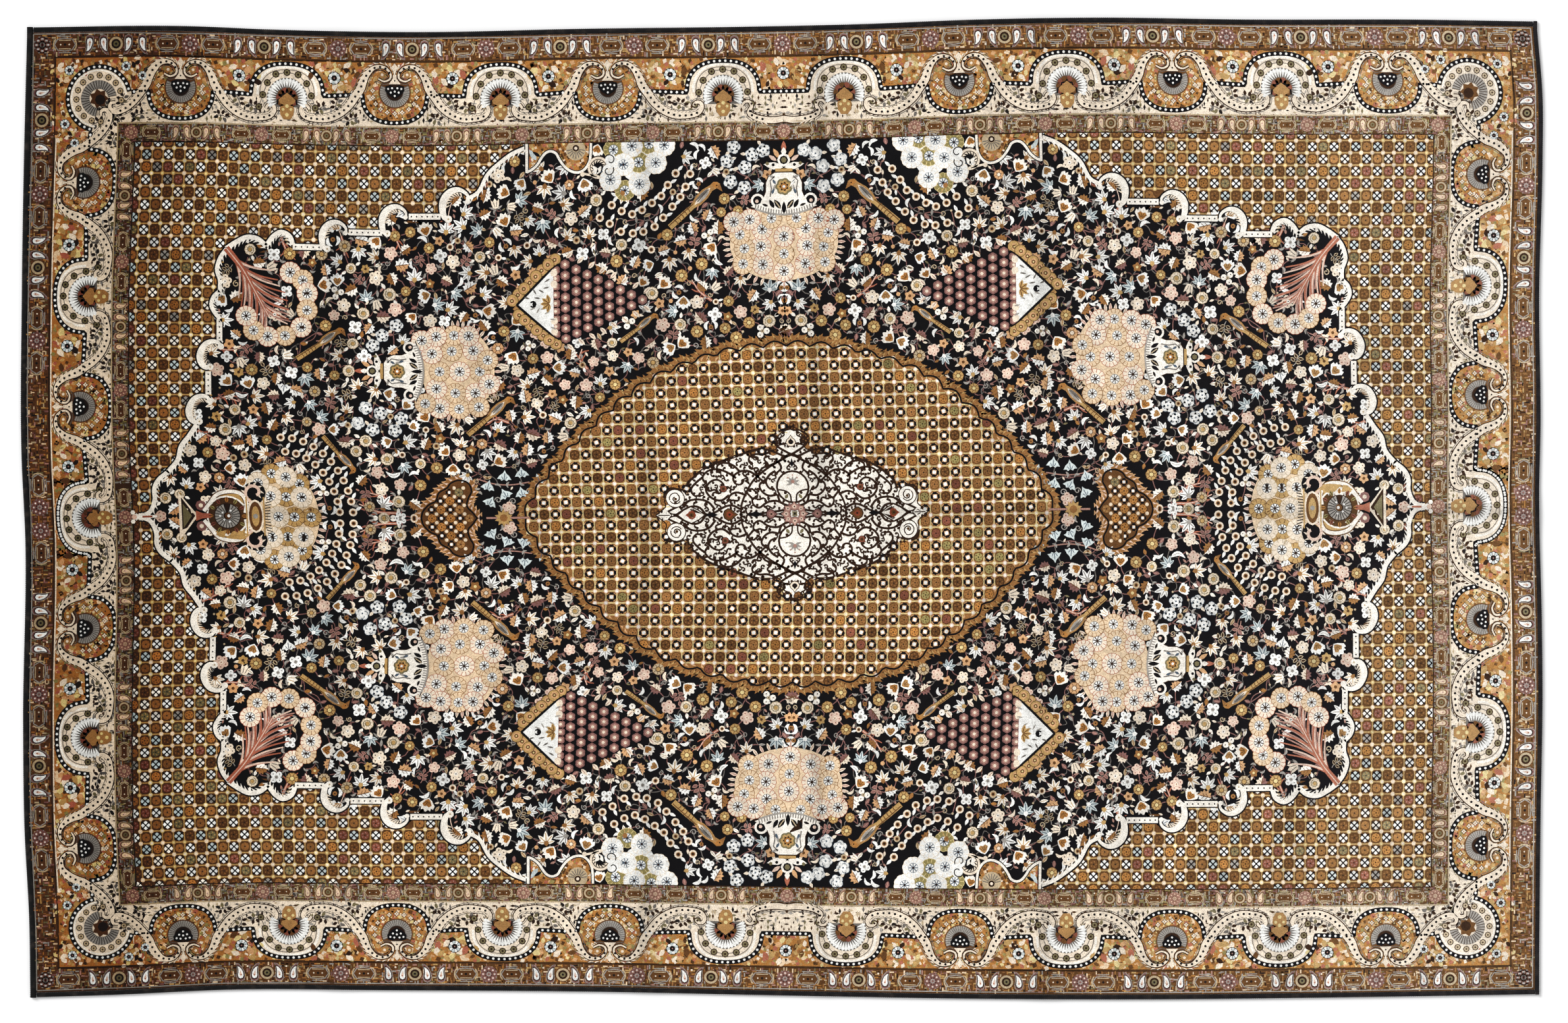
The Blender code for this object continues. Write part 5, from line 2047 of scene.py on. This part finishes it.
def ivy(petal, vein):
    """A three-cornered ivy leaf with dark veins and two small curls at its foot."""
    outline = whole([(0, 12), (3, 6), (8, 2), (12.5, -5), (7, -5), (4.5, -8), (0, -5)])
    return join(
        fill(outline, petal, 0, (0, 0)), band([(0, -5), (0, 6)], 1.3, vein, 0.5),
        *(band([(s * 2, -5), (s * 5, 0)], 1.2, vein, 0.5) for s in (-1, 1)),
    )


def star_flower(petal, eye, count=5, side="cream"):
    """Short pointed petals about a round heart, with one pale leaf beside them."""
    return join(
        repeat(leaf(12, 5, side, -0.3), [(3, -3)], -2.4),
        ring_of(leaf(8.5, 7.5, petal), 1.0, np.arange(count) * 360 / count), disc(2.8, eye, 6, rise=1.2),
    )


def eyelet(ring_dye, leaf_dye="chalk"):
    """A pale ring round a brown hole, with one small leaf."""
    return join(
        repeat(leaf(11, 5, leaf_dye, -0.3), [(3, -4)], -2.4), disc(6.3, ring_dye, 10),
        disc(3.6, "copper", 8, rise=0.5), disc(2.3, "walnut", 6, rise=0.9),
    )


def crescent(dye, length=20.0, wide=7.0, vein=None):
    """A curved half leaf: thick at a third of its length, thin at both ends."""
    t = np.linspace(0, 1, 8)
    line = np.stack([length * 0.28 * np.sin(math.pi * t), length * (t - 0.5)], 1)
    body = band(line, 0.8 + wide * np.sin(math.pi * t) ** 0.8 * (1.15 - 0.6 * t), dye)
    return join(body, band(line[1:6], 0.9, vein, 0.5)) if vein else body


def spray(leaf_dye, edge_dye, twig_dye, count=5):
    """Small outlined leaves in pairs along a bent twig."""
    one = join(leaf(10, 6.4, edge_dye, 0), repeat(leaf(8, 3.6, leaf_dye, 0.5), [(0, 1)]))
    at = np.array([(0, 8), (1, 2), (0, 2), (0, -5), (-1, -5)], float)[:count]
    return join(
        band(bend([(0, -13), (2, -5), (0, 2), (0, 8)], 5), 1.3, twig_dye, -0.3),
        *(
            lifted(repeat(one, [p], a), 0.2 * k)
            for k, (p, a) in enumerate(zip(at, (0, -1.15, 1.15, -1.25, 1.3)))
        ),
    )


def moth(wing, heart):
    """Two curved wings and a round heart: a small flower half turned away."""
    return join(
        repeat(crescent(wing, 16, 6), [(5, 0)], 0.3),
        repeat(crescent(wing, 16, 6), [(-5, 0)], -0.3, flip=True), disc(4.2, heart, 7, (0, -3), 0.5),
        disc(1.6, "walnut", 4, (0, -3), 1.0),
    )


def tulip(petal, stripe):
    """A cup with three points and dark stripes, and two narrow leaves."""
    cup = whole([(0, -8), (5, -6), (7, 0), (8, 9), (4, 5), (0, 11)])
    leaves = repeat(leaf(12, 3.6, "ash", -0.3), [(2, -9), (-2, -9)], (-1.1, 1.1))
    return join(
        leaves, fill(cup, petal, 0.2, (0, 0)),
        *(band([(s * 1.5, -5), (s * 3.2, 5)], 1.2, stripe, 0.8) for s in (-1, 1)),
    )


def whorl(dye, width=1.5):
    """A small tendril rolled up at its end."""
    return band(curl(5.2, 0, 1.15, 11, 0.3), width, dye)


great_rose = join(
    round_flower("cream", "sand", "gold", 9), band(curl(7.5, 40, 1.2, 14, 0.4), 1.3, "moss", 1.4),
    repeat(leaf(11, 6, "ivory", -0.3), [(8, 8), (-8, -8)], (-0.8, 2.3)),
)
BIG = (
    (toothed_leaf("chalk", "apricot"), 3), (toothed_leaf("ivory", "copper"), 3),
    (round_flower("gold", "umber", "straw"), 2), (round_flower("sand", "bark", "gold", 8), 1),
    (great_rose, 2), (lotus("chalk", "ash", "gold"), 3), (lotus("ivory", "gold", "copper"), 3),
    (blossom("cream", "walnut", "ivory"), 2), (blossom("chalk", "smoke", "ash", 4), 2),
    (fan_flower("ivory", "ochre", "bark"), 3), (fan_flower("chalk", "amber", "umber"), 2),
    (blossom("blush", "brick", "cream"), 2), (lotus("ice", "slate", "chalk"), 1),
    (toothed_leaf("cream", "mauve"), 2), (round_flower("apricot", "umber", "cream", 6), 1),
)
MIDDLE = (
    (tulip("cream", "smoke"), 2), (tulip("ivory", "gold"), 1), (star_flower("apricot", "umber"), 2),
    (star_flower("copper", "straw"), 2), (star_flower("gold", "bark", 6), 1),
    (spray("mauve", "rosewood", "rosewood"), 3), (spray("walnut", "sand", "ash"), 2),
    (ivy("chalk", "slate"), 1), (moth("chalk", "copper"), 2), (moth("cream", "mauve"), 1),
    (blossom("ivory", "walnut", "sand", 3), 2), (eyelet("cream"), 2), (lotus("chalk", "smoke", "ash"), 1),
    (toothed_leaf("ash", "chalk"), 1), (crescent("chalk", 24, 8, "ash"), 2),
)
SMALL = (
    (crescent("chalk", 17, 6), 4), (crescent("cream", 15, 5), 3), (leaf(14, 6, "ivory", 0, "sand"), 3),
    (leaf(13, 7, "mauve", 0, "rosewood"), 4), (whorl("ash"), 3), (whorl("sand"), 2),
    (leaf(13, 6, "sand", 0, "copper"), 3), (leaf(12, 7, "copper", 0, "ochre"), 2),
    (disc(3.8, "apricot", 7), 1), (eyelet("sand"), 1), (leaf(13, 5, "ash"), 2), (leaf(11, 5, "copper"), 1),
)
TINY = (
    (crescent("ash", 10, 3.4), 3), (leaf(8, 3.6, "cream"), 3), (leaf(8, 3.2, "moss"), 1),
    (leaf(8, 3.6, "rosewood"), 2), (disc(2.2, "sand", 5), 1),
)

# %% Where nothing is scattered
# Middle (u, v), half length and half width of every oval that stays clear.
KEPT_OVALS = (
    (0, 413, 92, 64), (0, 482, 36, 40), (40, 477, 14, 14), (0, 530, 38, 18), (0, 556, 18, 18),
    (218, 540, 62, 40), (340, 562, 58, 28), (494, 231, 62, 78), (578, 231, 36, 34), (570, 268, 14, 14),
    (570, 194, 14, 14), (614, 231, 16, 30), (636, 231, 18, 14), (757, 0, 60, 84), (815, 0, 34, 52),
    (845, 0, 34, 34), (898, 0, 20, 38), (512, 0, 52, 68), (440, 0, 34, 14), (793, 355, 32, 34),
    (828, 398, 18, 20),
)
KITE_SHAPE = ((416, 335), (350, 398), (332, 400), (212, 350), (212, 320), (332, 270), (350, 272))


def free(points):
    """True where a small flower may stand: in the panel, clear of the medallion and every large figure."""
    good = inside(PANEL_EDGE, points, 8) & ~inside(outer(LENS_EDGE, 17), points) & (points[:, 1] < 566)
    for u, v, across, along in KEPT_OVALS:
        good &= ((points[:, 0] - u) / across) ** 2 + ((points[:, 1] - v) / along) ** 2 > 1
    kite_side = np.roll(KITE_SHAPE, -1, 0) - np.array(KITE_SHAPE)
    away = points[:, None] - np.array(KITE_SHAPE)[None]
    return good & ~np.all(kite_side[:, 0] * away[:, :, 1] - kite_side[:, 1] * away[:, :, 0] > 0, axis=1)


def scatter(count, room, taken, tries=9000):
    """Random places in the quarter, each its room plus the other's room or more from all before it."""
    spots = chance.random((tries, 2)) * (960, 570)
    spots = spots[free(spots)]
    places = list(taken)
    found = []
    table = np.array(places, float).reshape(-1, 3)
    for spot in spots:
        if len(table) and np.any(np.hypot(table[:, 0] - spot[0], table[:, 1] - spot[1]) < table[:, 2] + room):
            continue
        table = np.vstack([table, (*spot, room)])
        found.append(spot)
        if len(found) == count:
            break
    return np.array(found), table


def planted(kinds, places, rooms=1.0):
    """Every place gets one of the kinds, in proportion, with its own turn, size and shade."""
    pick = picked(kinds, len(places))
    turn = chance.random(len(places)) * 2 * math.pi
    size = rooms * (0.78 + 0.22 * chance.random(len(places)))
    shade, flip = lots(len(places), 0.09), chance.random(len(places)) < 0.5
    made = [
        repeat(one, places[pick == k], turn[pick == k], size[pick == k], flip[pick == k], shade[pick == k])
        for k, (one, _) in enumerate(kinds)
        if (pick == k).any()
    ]
    return join(*made)


def stems(table, reach=34):
    """Thin curved stems from every place to its two nearest earlier neighbours within reach."""
    spots = table[:, :2]
    away = np.hypot(*(spots[:, None] - spots[None]).transpose(2, 0, 1))
    away[np.triu_indices(len(spots))] = 1e9
    made = []
    for k in (0, 1):
        near = np.argsort(away, axis=1)[:, k]
        close = np.flatnonzero(away[np.arange(len(spots)), near] < reach)
        a, b = spots[close], spots[near[close]]
        bow = (chance.random(len(close)) - 0.5) * 14
        side = np.stack([-(b - a)[:, 1], (b - a)[:, 0]], 1)
        side /= np.maximum(np.linalg.norm(side, axis=1, keepdims=True), 1)
        t = np.linspace(0, 1, 5)[None, :, None]
        line = a[:, None] * (1 - t) + b[:, None] * t + side[:, None] * (
            bow[:, None, None] * np.sin(math.pi * t)
        )
        half = side[:, None] * 0.7
        points = np.stack([line - half, line + half], 2).reshape(-1, 2)
        q = (np.arange(len(close)) * 10)[:, None] + 2 * np.arange(4)[None]
        q = q.ravel()
        faces = np.concatenate([np.stack([q, q + 2, q + 3], 1), np.stack([q, q + 3, q + 1], 1)])
        x, y, z = points[faces[:, 0]], points[faces[:, 1]], points[faces[:, 2]]
        turned = (y - x)[:, 0] * (z - x)[:, 1] - (y - x)[:, 1] * (z - x)[:, 0] < 0
        faces[turned] = faces[turned][:, ::-1]
        made.append(patch(points, faces, ("smoke", "mauve")[k], -0.7))
    return join(*made)


def eyelet_arc(centre, radius, start, end, across=None):
    """Places of a curved row of eyelet flowers, less those by the two axes."""
    line = spaced(arc(centre, radius, start, end, 60, across), 17.5)
    return line[np.all(line > 6, axis=1)]


# The eyelet flowers under the cut-off white bunches.
EYELETS = (
    (164, 515), (142, 514), (176, 498), (149, 495), (186, 482), (157, 480), (200, 472), (169, 466),
    (215, 462), (183, 450), (230, 456), (246, 461), (261, 470), (196, 437), (213, 430), (229, 428),
    (247, 431), (264, 443), (279, 452),
)
eyelets = np.vstack([
    eyelet_arc((757, 0), 80, 92, 175, 102), eyelet_arc((757, 0), 100, 88, 176, 124),
    np.array(EYELETS) + (0, 5),
])
eyelets = eyelets[inside(PANEL_EDGE, eyelets, 12) & (eyelets[:, 1] < 560)]
IVY = np.array([(454, 50), (429, 65), (403, 70), (378, 59), (429, 37), (404, 39), (452, 25)], float)
bird_spots = repeat(
    patch([(0, 38), (0, 24), (1, 8), (2, -8), (2, -22), (3, -36)], np.zeros((0, 3), int), "night"),
    BIRD_PLACES, BIRD_TURNS, BIRD_SIZES,
).points
with_room = lambda spots, room: np.column_stack([np.asarray(spots, float), np.full(len(spots), room)])
fixed = np.vstack([
    with_room(eyelets, 7.5), with_room(IVY, 11.0), with_room(bird_spots, 8.0), with_room(GARLAND, 17.0),
    with_room(TOP_PANSIES, 10.0), with_room(SIDE_PANSIES, 10.0),
])
big, table = scatter(330, 10.2, fixed)
middle, table = scatter(420, 7.8, table)
small, table = scatter(480, 5.0, table, 14000)
tiny, table = scatter(330, 3.0, table, 14000)
print(
    len(big), "big,", len(middle), "middle,", len(small), "small and", len(tiny),
    "tiny figures in a quarter",
)


def twig(points):
    """A rose-red twig: a tapering line with short side branches in turn on its two sides."""
    line = bend(points, 4)
    at = spaced(line, 8)[1:-1]
    along, _ = heading(at)
    turn = np.arctan2(along[:, 1], along[:, 0]) + np.where(np.arange(len(at)) % 2, 0.75, -0.75)
    branch = band([(0, 0), (7, 1), (13, 4)], (2.6, 2.0, 1.0), "rust", 0.0)
    return join(
        band(line, np.linspace(4.6, 1.6, len(line)), "rust", 0.3), band(line, 1.2, "blush", 0.7),
        repeat(branch, at, turn),
    )


TWIGS = (
    ((677, 452), (668, 430), (664, 406)), ((597, 472), (590, 440), (576, 408)),
    ((500, 494), (508, 466), (504, 440)), ((760, 430), (752, 412), (744, 398)),
    ((860, 262), (838, 258), (816, 262)), ((862, 180), (842, 184), (820, 178)),
    ((884, 132), (860, 120), (846, 104)), ((592, 8), (620, 10), (648, 22)),
    ((596, 22), (612, 34), (634, 40)), ((420, 150), (438, 156), (452, 150)),
    ((300, 230), (312, 246), (308, 262)), ((110, 330), (128, 344), (140, 362)),
)
sew("panel_stems", mirror(join(stems(table[len(fixed):]), *(twig(points) for points in TWIGS))), 1.2)
flowers = mirror(join(planted(BIG, big, 0.94), planted(MIDDLE, middle, 0.94)))
leaves = mirror(join(
    planted(SMALL, small, 0.96), planted(TINY, tiny),
    repeat(eyelet("cream"), eyelets, 2.6 + chance.random(len(eyelets))),
    repeat(ivy("ice", "slate"), IVY, (0.3, 0.1, -0.1, -0.3, -0.5, -0.2, 0.5), 0.86, shade=1.25),
    band(bend([(470, 62), (446, 54), (420, 52), (392, 56)], 6), 1.8, "rosewood", -0.4),
    repeat(whorl("ash"), [(440, 28), (418, 26), (392, 42)]),
))
sew("panel_flowers", flowers, 1.9)
sew("panel_leaves", leaves, 1.9)
sew("garden_bunches", join(
    mirror(top_group, along=False), mirror(side_group), mirror(tip_group, across=False),
    mirror(corner_bunch), mirror(garland),
), 1.6)
bead_flower = join(
    disc(14, "gold", 20, rise=1.5, lobes=10, depth=0.35), disc(6, "copper", 8, rise=2.0),
    band([(-38, 0), (26, 0)], 3, "rosewood", 1.0),
)
sew("garden_figures", join(
    mirror(tree), mirror(repeat(kite(), [kite_place])), mirror(birds), mirror(cartouche),
    mirror(repeat(bead_flower, [(433, 0)]), across=False),
), 2.4)

# %% [markdown]
# ## Edge bindings
#
# The warps at the two ends and the outermost warps at the two sides are wrapped with dark wool. Each
# binding is a round cord whose surface swells and sinks once a stitch, like thread wound on a reel. The
# profile is carried along the laid edge, and every stitch has its own shade.

# %% Bindings
BINDING_HEIGHT = 0.0085
STITCH = 0.0042


def yarn_finish():
    """Wound wool: nearly black, a little browner where it is worn, with a fine fibre bump."""
    material, tree, shader, place = new_finish("wound_yarn", 0.85, 0.2, 0.1)
    dye = node(tree, "ShaderNodeAttribute", attribute_name="dye").outputs["Color"]
    worn = blend(tree, "MIX", dye, (*linear((60, 52, 46)), 1))
    amount = spread(tree, noise(tree, place, 60, 4), 0.5, 0.8, 0.0, 0.6)
    link(tree, (amount, worn.node.inputs[0]), (worn, shader.inputs["Base Color"]))
    bumped(tree, shader, noise(tree, place, 900), 0.5)
    return material


wound_yarn = yarn_finish()


def binding(name, cad_name, width, u, v):
    """A wrapped cord: an oval carried along the laid line, swelling once a stitch, with closed ends."""
    length = np.hypot(u[-1] - u[0], v[-1] - v[0])
    count = 2 * round(length / STITCH) + 1
    t = np.linspace(0, 1, count)
    line = lay(u[0] + (u[-1] - u[0]) * t, v[0] + (v[-1] - v[0]) * t)
    along = np.gradient(line, axis=0)
    along /= np.linalg.norm(along, axis=1, keepdims=True)
    side = np.stack([-along[:, 1], along[:, 0], 0 * t], 1)
    sides = 8
    angle = 2 * math.pi * (np.arange(sides) + 0.5) / sides
    swell = np.where(np.arange(count) % 2, 1.0, 0.86)
    across = width / 2 * np.cos(angle)[None] * swell[:, None]
    up = BINDING_HEIGHT / 2 * (1 + np.clip(np.sin(angle) * 1.082, -1, 1)[None] * swell[:, None])
    points = line[:, None] + side[:, None] * across[..., None]
    points[..., 2] += up
    points = np.concatenate([points.reshape(-1, 3), (line[[0, -1]] + (0, 0, BINDING_HEIGHT / 2))])
    i, k = (x.ravel() for x in np.meshgrid(np.arange(count - 1), np.arange(sides)))
    n = (k + 1) % sides
    a, b, c, d = i * sides + k, (i + 1) * sides + k, (i + 1) * sides + n, i * sides + n
    ring = np.concatenate([np.stack([a, b, c], 1), np.stack([a, c, d], 1)])
    k = np.arange(sides)
    last = (count - 1) * sides
    caps = np.concatenate([
        np.stack([np.full(sides, count * sides), k, (k + 1) % sides], 1),
        np.stack([np.full(sides, count * sides + 1), last + (k + 1) % sides, last + k], 1),
    ])
    faces = np.concatenate([ring, caps])
    # Outward faces: the first triangle's normal is compared with the direction away from the line.
    p, q, r = points[faces[0]]
    if np.dot(np.cross(q - p, r - p), p - (line[0] + (0, 0, BINDING_HEIGHT / 2))) < 0:
        faces = faces[:, ::-1]
    stitch = np.concatenate([np.tile(i // 2, 2), np.zeros(2 * sides, int)])
    shade = 1 + 0.25 * np.random.default_rng(3).standard_normal(count).clip(-2, 2)[stitch]
    made = mesh_object(
        name, points, faces, np.full(len(faces), DYE_NUMBER["night"]), shade, wound_yarn,
        points[:, 0] + points[:, 1] * 0.3,
    )
    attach(made, "root")
    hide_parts(cad_name)
    print(f"{name}: {len(faces)} triangles")


left_u = -HALF_LENGTH + BINDING_WIDTH["left"] / 2
right_u = HALF_LENGTH - BINDING_WIDTH["right"] / 2
top_v = HALF_WIDTH - BINDING_WIDTH["top"] / 2
bottom_v = -HALF_WIDTH + BINDING_WIDTH["bottom"] / 2
full = np.array([-HALF_WIDTH, HALF_WIDTH])
for name, cad_name, width, u, v in (
    ("binding_left", "end_binding_left", BINDING_WIDTH["left"], np.full(2, left_u), full),
    ("binding_right", "end_binding_right", BINDING_WIDTH["right"], np.full(2, right_u), full),
    ("binding_top", "side_binding_top", BINDING_WIDTH["top"], np.array(BODY_U), np.full(2, top_v)),
    (
        "binding_bottom", "side_binding_bottom", BINDING_WIDTH["bottom"], np.array(BODY_U),
        np.full(2, bottom_v),
    ),
):
    binding(name, cad_name, width, u, v)

# %% [markdown]
# ## Floor, light and camera
#
# The rug is seen from straight above, so the camera hangs over its middle with a long lens, which keeps the
# view square. The light is even, as in a studio with large soft boxes: a bright world gives most of it, and
# one wide, gentle sun from the upper left lets the folds show.

# %% Floor
def floor_finish():
    """Plain pale floor: almost white, matt, with the faintest cloud."""
    material, tree, shader, place = new_finish("pale_floor", 0.9, 0.1)
    tone = spread(tree, noise(tree, place, 1.5), 0.3, 0.7, 0.0, 1.0)
    mixed = blend(tree, "MIX", (0.97, 0.97, 0.97, 1), (1.0, 1.0, 1.0, 1))
    link(tree, (tone, mixed.node.inputs[0]), (mixed, shader.inputs["Base Color"]))
    return material


floor_mesh = bpy.data.meshes.new("floor")
FLOOR_REACH, FLOOR_DROP = 8.0, -0.0005
corners = [(x * FLOOR_REACH, y * FLOOR_REACH, FLOOR_DROP) for x, y in ((-1, -1), (1, -1), (1, 1), (-1, 1))]
floor_mesh.from_pydata(corners, [], [(0, 1, 2, 3)])
floor_mesh.materials.append(floor_finish())
floor = placed("floor", floor_mesh)

# %% Light
world = bpy.data.worlds.new("studio")
world.use_nodes = True
world.node_tree.nodes["Background"].inputs["Color"].default_value = (1.0, 1.0, 1.0, 1)
world.node_tree.nodes["Background"].inputs["Strength"].default_value = 0.69
bpy.context.scene.world = world
sun_data = bpy.data.lights.new("soft_box", "SUN")
sun_data.energy = 1.92
sun_data.angle = math.radians(25)
sun = placed("soft_box", sun_data)
sun.rotation_euler = (math.radians(-28), math.radians(-42), 0)

# %% Camera
HEIGHT = 14.0
SENSOR = 36  # mm
FRAME_WIDTH = 3.151  # metres of floor that the picture's long side shows
VIEW_MIDDLE = (0.0048, -0.0060)  # place on the floor under the camera
camera_data = bpy.data.cameras.new("camera")
camera_data.sensor_width = SENSOR
camera_data.lens = SENSOR * (HEIGHT - BODY_THICKNESS) / FRAME_WIDTH
camera_data.clip_end = 100
camera = placed("camera", camera_data)
camera.location = (*VIEW_MIDDLE, HEIGHT)
bpy.context.scene.camera = camera
bpy.context.scene.view_settings.view_transform = "Standard"
print("camera at", tuple(round(x, 3) for x in camera.location), "lens", round(camera_data.lens, 1))
